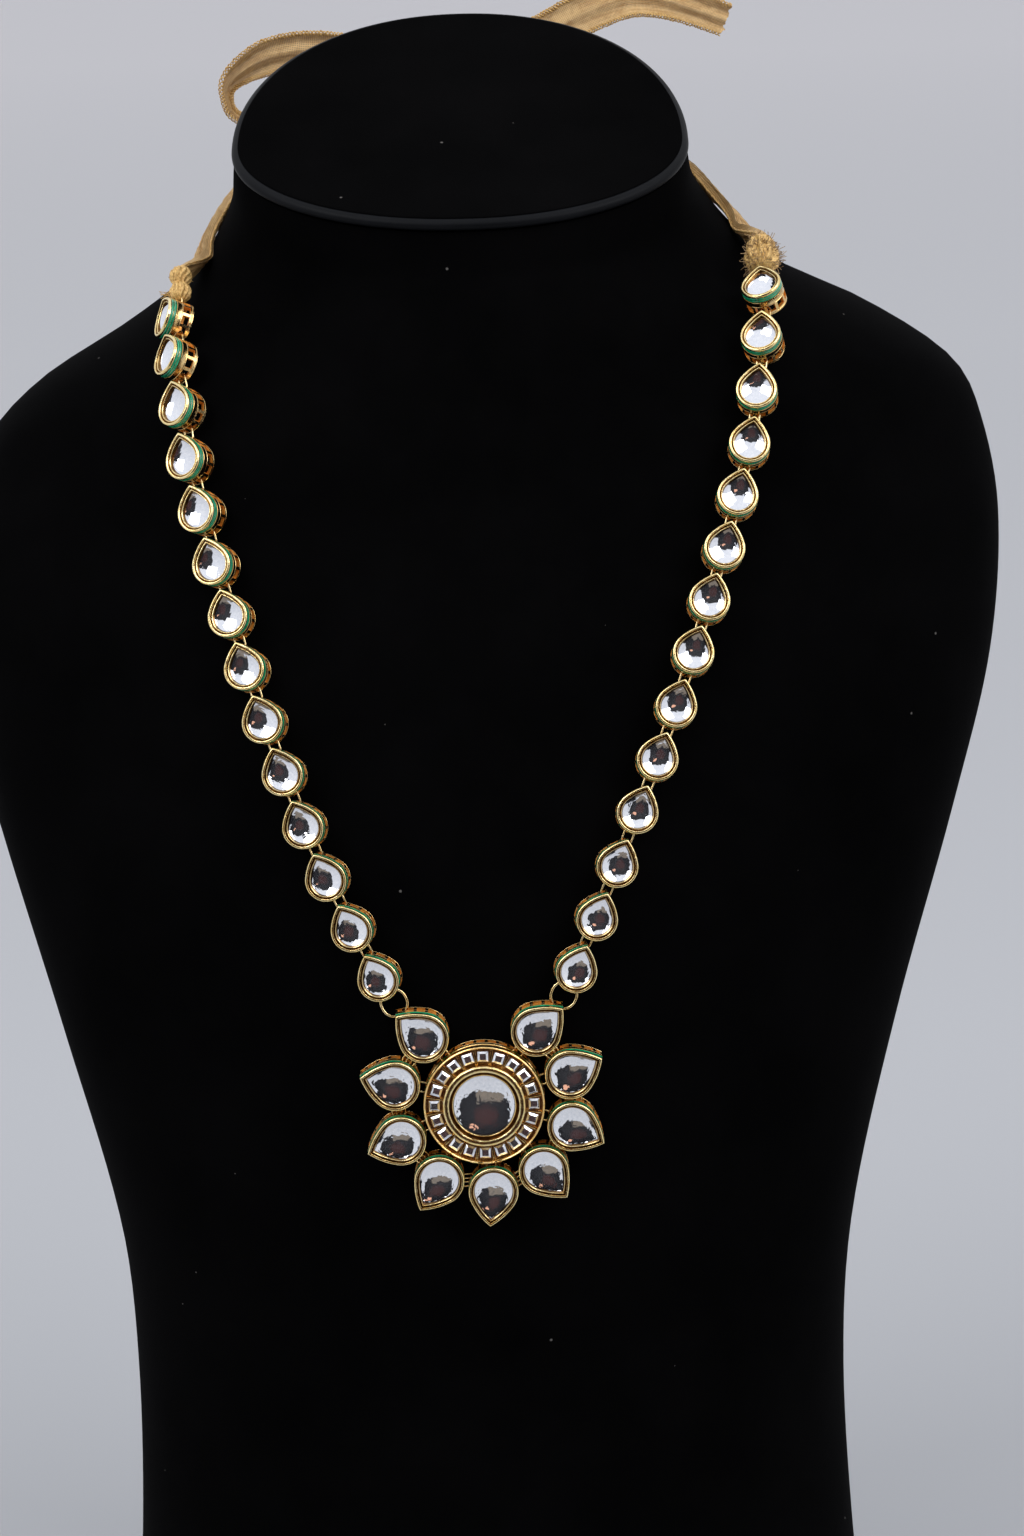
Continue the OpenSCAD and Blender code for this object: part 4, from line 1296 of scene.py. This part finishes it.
def model_cloth(name, rows, cut, pleats, seed, ragged=0.0, loose=1.0, deepest=1.5):
    """A strip of gauze in lengthwise pleats. The cut width is kept: where the band is narrow,
    the pleats stand deeper."""
    stations = cloth_stations(rows)
    points = pleats * FOLD_POINTS
    length = sum((b[0] - a[0]).length for a, b in zip(stations, stations[1:]))
    deselect_all()
    bpy.ops.mesh.primitive_grid_add(
        x_subdivisions=points, y_subdivisions=len(stations) - 1, size=2
    )
    cloth = bpy.context.object
    cloth.name = name
    cloth.data.uv_layers[0].name = "cloth"
    across = points + 1
    middle = stations[len(stations) // 2]
    off = 1 if middle[2].dot(middle[0] - Vector((0, 25, middle[0].z))) > 0 else -1
    reach = 0
    where = []
    for k, (p, w, n, width) in enumerate(stations):
        if k:
            reach += (p - stations[k - 1][0]).length
        run = width / (2 * pleats)
        slant = max(cut / (2 * pleats), run * 1.02)
        deep = min(math.sqrt(slant**2 - run**2), deepest) * loose
        stand = max(0, (deep - 1.2) / 2) if deepest > 2 else 0
        for j in range(across):
            share = j / points
            phase = share * pleats
            drift = 0.22 * noise.noise(Vector((seed, reach * 0.05, phase * 0.8)))
            fold = abs(((phase + drift) % 1) * 2 - 1) - 0.5
            fold = math.copysign(min(abs(fold) * 1.15, 0.5), fold)
            crease = 0.16 * noise.noise(Vector((share * 9 + seed, reach * 0.45, 3.1)))
            crease += 0.09 * noise.noise(Vector((share * 23 + seed, reach * 1.3, 7.7)))
            sideways = (share - 0.5) * width + 0.3 * noise.noise(Vector((seed + 5, reach * 0.12, share * 3)))
            fray = 0
            if k == len(stations) - 1:
                fray = ragged * noise.noise(Vector((share * 30, seed, 0)))
            t = w.cross(n)
            where.append(p + w * sideways + n * (fold * deep + crease + off * stand) + t * fray)
    for v, at in zip(cloth.data.vertices, where):
        v.co = at
    for loop in cloth.data.loops:
        k, j = divmod(loop.vertex_index, across)
        cloth.data.uv_layers["cloth"].data[loop.index].uv = (
            j / points * cut * MM,
            k / (len(stations) - 1) * length * MM,
        )
    cloth.data.transform(Matrix.Scale(MM, 4))
    thick = cloth.modifiers.new("thickness", "SOLIDIFY")
    thick.thickness = GAUZE_THICKNESS * MM
    thick.offset = 0
    apply_all(cloth)
    dress(cloth, GAUZE)
    smooth(cloth, 60)
    return cloth, stations, length


def lay_threads(name, lines, thickness, finish):
    """Round threads along lines of points in millimetres, as one piece."""
    curve = bpy.data.curves.new(name, "CURVE")
    curve.dimensions = "3D"
    curve.bevel_depth = thickness / 2 * MM
    curve.bevel_resolution = 0
    curve.use_fill_caps = True
    for line in lines:
        strand = curve.splines.new("POLY")
        strand.points.add(len(line) - 1)
        for point, at in zip(strand.points, line):
            point.co = (*(at * MM), 1)
    piece = bpy.data.objects.new(name, curve)
    bpy.context.scene.collection.objects.link(piece)
    take_up(piece)
    bpy.ops.object.convert(target="MESH")
    piece = bpy.context.object
    dress(piece, finish)
    bpy.ops.object.shade_smooth()
    return piece


def hem_lines(stations, seed, strands=3, spread_out=0.22):
    """Crinkled threads along both long edges of a strip."""
    lines = []
    for edge in (-0.5, 0.5):
        for strand in range(strands):
            line = []
            reach = 0
            for k in range(len(stations) - 1):
                p, w, n, width = stations[k]
                q, w2, n2, width2 = stations[k + 1]
                for part in range(3):
                    u = part / 3
                    at = p.lerp(q, u) + w.lerp(w2, u) * edge * (width + (width2 - width) * u)
                    reach += (q - p).length / 3
                    curl = reach * 2.4 + strand * 2.1
                    at = at + w * math.cos(curl) * spread_out + n * math.sin(curl) * spread_out
                    at = at + w * 0.3 * noise.noise(Vector((seed + strand, reach * 0.4, edge)))
                    line.append(at)
            lines.append(line)
    return lines


def model_ribbons():
    for side, seed in (("left", 1.7), ("right", 8.3)):
        band, stations, length = model_cloth(
            f"gauze_{side}", ribbon_rows(side), RIBBON_CUT, 4, seed, deepest=2.8
        )
        hem = lay_threads(f"gauze_hem_{side}", hem_lines(stations, seed), 0.32, HEM)
        hand_in(band, "ribbon", f"ribbon_{side}")
        hand_in(hem, "ribbon")
    for name, rows, node, seed, ragged in (
        ("bow_loop_gauze", BOW_LOOP, "bow_loop", 3.9, 0),
        ("bow_tail_gauze", BOW_TAIL, "bow_tail", 6.1, 1.2),
    ):
        band, stations, length = model_cloth(name, bow_rows(rows), BOW_CUT, 2, seed, ragged, 0.85)
        hem = lay_threads(f"{name}_hem", hem_lines(stations, seed, 8, 0.6), 0.3, HEM)
        hand_in(band, "ribbon", node)
        hand_in(hem, "ribbon")


def gathered_knot(name, lobes, pleats, depth, seed):
    """Cloth pulled into two lobes along their axis, with pleats that run into the waist."""
    axis = (lobes[-1][0] - lobes[0][0]).normalized()
    low = lobes[0][0] - axis * lobes[0][1]
    high = lobes[-1][0] + axis * lobes[-1][1]
    steps, rows = 96, 34
    side = axis.orthogonal().normalized()
    across = axis.cross(side)

    def outline(at):
        best = 0
        for middle, r in lobes:
            d = (at - middle).dot(axis)
            if abs(d) < r:
                best = max(best, math.sqrt(r * r - d * d))
        return best

    def place(i, k):
        share = 0.5 - 0.5 * math.cos(math.pi * (0.02 + 0.96 * k / rows))
        at = low.lerp(high, share)
        a = i * 2 * math.pi / steps
        r = outline(at)
        swing = 0.5 * noise.noise(Vector((seed, share * 3, 1)))
        c, s = math.cos(a), math.sin(a)
        slip = 2 * noise.noise(Vector((c, s, share * 3 + seed)))
        pleat = math.cos(pleats * (a + swing) + slip)
        lump = 0.5 * noise.noise(Vector((c * 1.3, s * 1.3, share * 4 + seed)))
        r *= 1 - depth * (0.5 - 0.5 * pleat) + 0.12 * lump
        return at + side * c * r + across * s * r

    knot = wall_of_rows(name, steps, list(range(rows + 1)), place, first_fill=True, last_fill=True)
    knot.data.transform(Matrix.Scale(MM, 4))
    dress(knot, HEM)
    smooth(knot, 60)
    return knot


def frayed(middle, radius, count, length, seed, way=None, spread_out=1.0):
    """Loose threads that stand off a knot."""
    rng = random.Random(seed)
    lines = []
    for _ in range(count):
        out = Vector((rng.gauss(0, 1), rng.gauss(0, 1), rng.gauss(0, 1))).normalized()
        if way is not None:
            out = (out * spread_out + way).normalized()
        start = middle + out * radius * rng.uniform(0.75, 0.98)
        turn = Vector((rng.gauss(0, 1), rng.gauss(0, 1), rng.gauss(0, 1))).normalized()
        reach = length * rng.uniform(0.4, 1)
        line = []
        for k in range(6):
            u = k / 5
            line.append(start + out * reach * u * (1 - 0.35 * u) + turn * reach * 0.55 * u * u)
        lines.append(line)
    return lines


def model_knots():
    left = [(knot_lobe("left", False), 2.95), (knot_lobe("left", True), 3.0)]
    knot = gathered_knot("gathered_knot_left", left, 11, 0.22, 2.2)
    hand_in(knot, "ribbon", "knot_left")
    stray = frayed(left[0][0], 2.6, 60, 4.2, 11, Vector((-0.75, -0.1, -0.75)), 0.8)
    stray += frayed(left[1][0], 2.7, 24, 1.6, 12)
    hand_in(lay_threads("frayed_threads_left", stray, 0.13, HEM), "ribbon")
    right = [(knot_lobe("right", False), 4.7), (knot_lobe("right", True), 3.8)]
    knot = gathered_knot("gathered_knot_right", right, 9, 0.2, 5.4)
    hand_in(knot, "ribbon", "knot_right")
    stray = frayed(right[0][0], 4.5, 420, 2.6, 13) + frayed(right[1][0], 3.5, 200, 2.0, 14)
    hand_in(lay_threads("fuzzy_threads_right", stray, 0.16, FIBRE), "ribbon")
    middle = [(BOW_MIDDLE - Vector((1.2, 0, 0.3)), 4.9), (BOW_MIDDLE + Vector((1.2, 0, 0.3)), 4.9)]
    knot = gathered_knot("bow_knot_gauze", middle, 10, 0.2, 7.5)
    hand_in(knot, "ribbon", "bow_knot")


# Light, floor and camera
CAMERA_AT = (0.008806, -1.13073, 0.50515)
CAMERA_TILT = math.radians(12.5)
CAMERA_ROLL = math.radians(1.4)
FRAME_HEIGHT = 1536
FOCUS_PIXELS = 4400
SENSOR = 36


def set_camera():
    ahead = Vector((0, math.cos(CAMERA_TILT), -math.sin(CAMERA_TILT)))
    level_up = Vector((0, math.sin(CAMERA_TILT), math.cos(CAMERA_TILT)))
    level_right = Vector((1, 0, 0))
    right = level_right * math.cos(CAMERA_ROLL) - level_up * math.sin(CAMERA_ROLL)
    up = level_right * math.sin(CAMERA_ROLL) + level_up * math.cos(CAMERA_ROLL)
    lens = bpy.data.cameras.new("photo_camera")
    lens.lens = SENSOR * FOCUS_PIXELS / FRAME_HEIGHT
    lens.sensor_width = SENSOR
    lens.sensor_fit = "AUTO"
    lens.clip_start, lens.clip_end = 0.05, 60
    camera = bpy.data.objects.new("photo_camera", lens)
    bpy.context.scene.collection.objects.link(camera)
    place = Matrix.Identity(4)
    for c in range(3):
        place[c][0], place[c][1], place[c][2], place[c][3] = right[c], up[c], -ahead[c], CAMERA_AT[c]
    camera.matrix_world = place
    bpy.context.scene.camera = camera


def set_floor():
    deselect_all()
    bpy.ops.mesh.primitive_plane_add(size=80, location=(0, 0, 0))
    floor = bpy.context.object
    floor.name = "pale_floor"
    finish, tree, shader, where = start_finish("pale_floor")
    parts = tree.nodes.new("ShaderNodeSeparateXYZ")
    tree.links.new(where, parts.inputs[0])
    # Painted light falloff: the floor's colour is darker near the camera and lighter further back, standing
    # in for how the studio light falls
    painted_light_falloff = spread(tree, parts.outputs["Y"], 0, 8)
    painted_near_shade, painted_middle_light, painted_far_light = (0.435, 0.445, 0.47), (0.55, 0.555, 0.578), (0.635, 0.628, 0.65)
    tree.links.new(
        shades(tree, painted_light_falloff, (0.02, painted_near_shade), (0.37, painted_middle_light), (0.95, painted_far_light)),
        shader.inputs["Base Color"],
    )
    shader.inputs["Roughness"].default_value = 0.9
    shader.inputs["Specular IOR Level"].default_value = 0.1
    dress(floor, finish)
    floor.visible_glossy = False


def set_light():
    """A white tent all round, with the dark of the room where the camera stands."""
    world = bpy.data.worlds.new("studio")
    bpy.context.scene.world = world
    world.use_nodes = True
    tree = world.node_tree
    back = tree.nodes["Background"]
    where = tree.nodes.new("ShaderNodeTexCoord").outputs["Generated"]
    rough = tree.nodes.new("ShaderNodeTexNoise")
    rough.inputs["Scale"].default_value = 3.2
    rough.inputs["Detail"].default_value = 1
    tree.links.new(where, rough.inputs["Vector"])
    shift = tree.nodes.new("ShaderNodeVectorMath")
    shift.operation = "MULTIPLY_ADD"
    shift.inputs[1].default_value = (0.1, 0.1, 0.1)
    tree.links.new(rough.outputs["Color"], shift.inputs[0])
    tree.links.new(where, shift.inputs[2])
    parts = tree.nodes.new("ShaderNodeSeparateXYZ")
    tree.links.new(shift.outputs[0], parts.inputs[0])
    x = sums(tree, "SUBTRACT", parts.outputs["X"], 0.05)
    y = sums(tree, "SUBTRACT", parts.outputs["Y"], 0.05)
    z = sums(tree, "SUBTRACT", parts.outputs["Z"], 0.05)

    def within(value, low, high, soft=0.03):
        up = spread(tree, value, low - soft, low + soft)
        down = spread(tree, value, high - soft, high + soft, 1.0, 0.0)
        return sums(tree, "MULTIPLY", up, down)

    front = spread(tree, y, -0.25, -0.15, 1.0, 0.0)

    def oval(middle_x, middle_z, half_x, half_z, soft=0.04):
        parts = []
        for value, middle, half in ((x, middle_x, half_x), (z, middle_z, half_z)):
            part = sums(tree, "DIVIDE", sums(tree, "SUBTRACT", value, middle), half)
            parts.append(sums(tree, "POWER", sums(tree, "ABSOLUTE", part, 0.0), 2.4))
        reach = sums(tree, "ADD", *parts)
        return sums(tree, "MULTIPLY", spread(tree, reach, 1 - soft, 1 + soft, 1.0, 0.0), front)

    room = oval(0, 0, 0.67, 0.64)
    patch = sums(tree, "MULTIPLY", within(x, -0.5, 0.16), within(z, -0.8, -0.42))
    warm = sums(tree, "MULTIPLY", patch, room)
    red = oval(-0.06, 0.0, 0.3, 0.3, 0.6)
    lamp = oval(0.32, 0.3, 0.09, 0.08)
    height = spread(tree, z, -1.0, 1.0, 0.6, 0.97)
    tent = blend_colours(tree, 1.0, (0.97, 0.985, 1.03), height, "MULTIPLY")
    colour = blend_colours(tree, room, tent, (0.008, 0.008, 0.01))
    colour = blend_colours(tree, sums(tree, "MULTIPLY", red, 0.8), colour, (0.05, 0.012, 0.01))
    colour = blend_colours(tree, warm, colour, (0.22, 0.18, 0.14))
    colour = blend_colours(tree, lamp, colour, (1.0, 0.50, 0.32))
    tree.links.new(colour, back.inputs["Color"])
    back.inputs["Strength"].default_value = 1.0
    for name, at, size, power in (
        ("high_left", (-1.3, -1.2, 1.9), 1.4, 22),
        ("high_right", (1.4, -1.1, 1.7), 1.4, 20),
    ):
        lamp_data = bpy.data.lights.new(name, "AREA")
        lamp_data.shape = "SQUARE"
        lamp_data.size = size
        lamp_data.energy = power
        soft_light = bpy.data.objects.new(name, lamp_data)
        soft_light.location = at
        aim = Vector((0, 0, 0.3)) - Vector(at)
        soft_light.rotation_euler = aim.to_track_quat("-Z", "Y").to_euler()
        bpy.context.scene.collection.objects.link(soft_light)


bpy.context.scene.view_settings.view_transform = "Standard"
set_camera()
set_floor()
set_light()
model_bust()
model_top()
model_chain()
model_disc()
model_dome()
model_square_stones()
model_petals()
model_knots()
model_ribbons()
deselect_all()
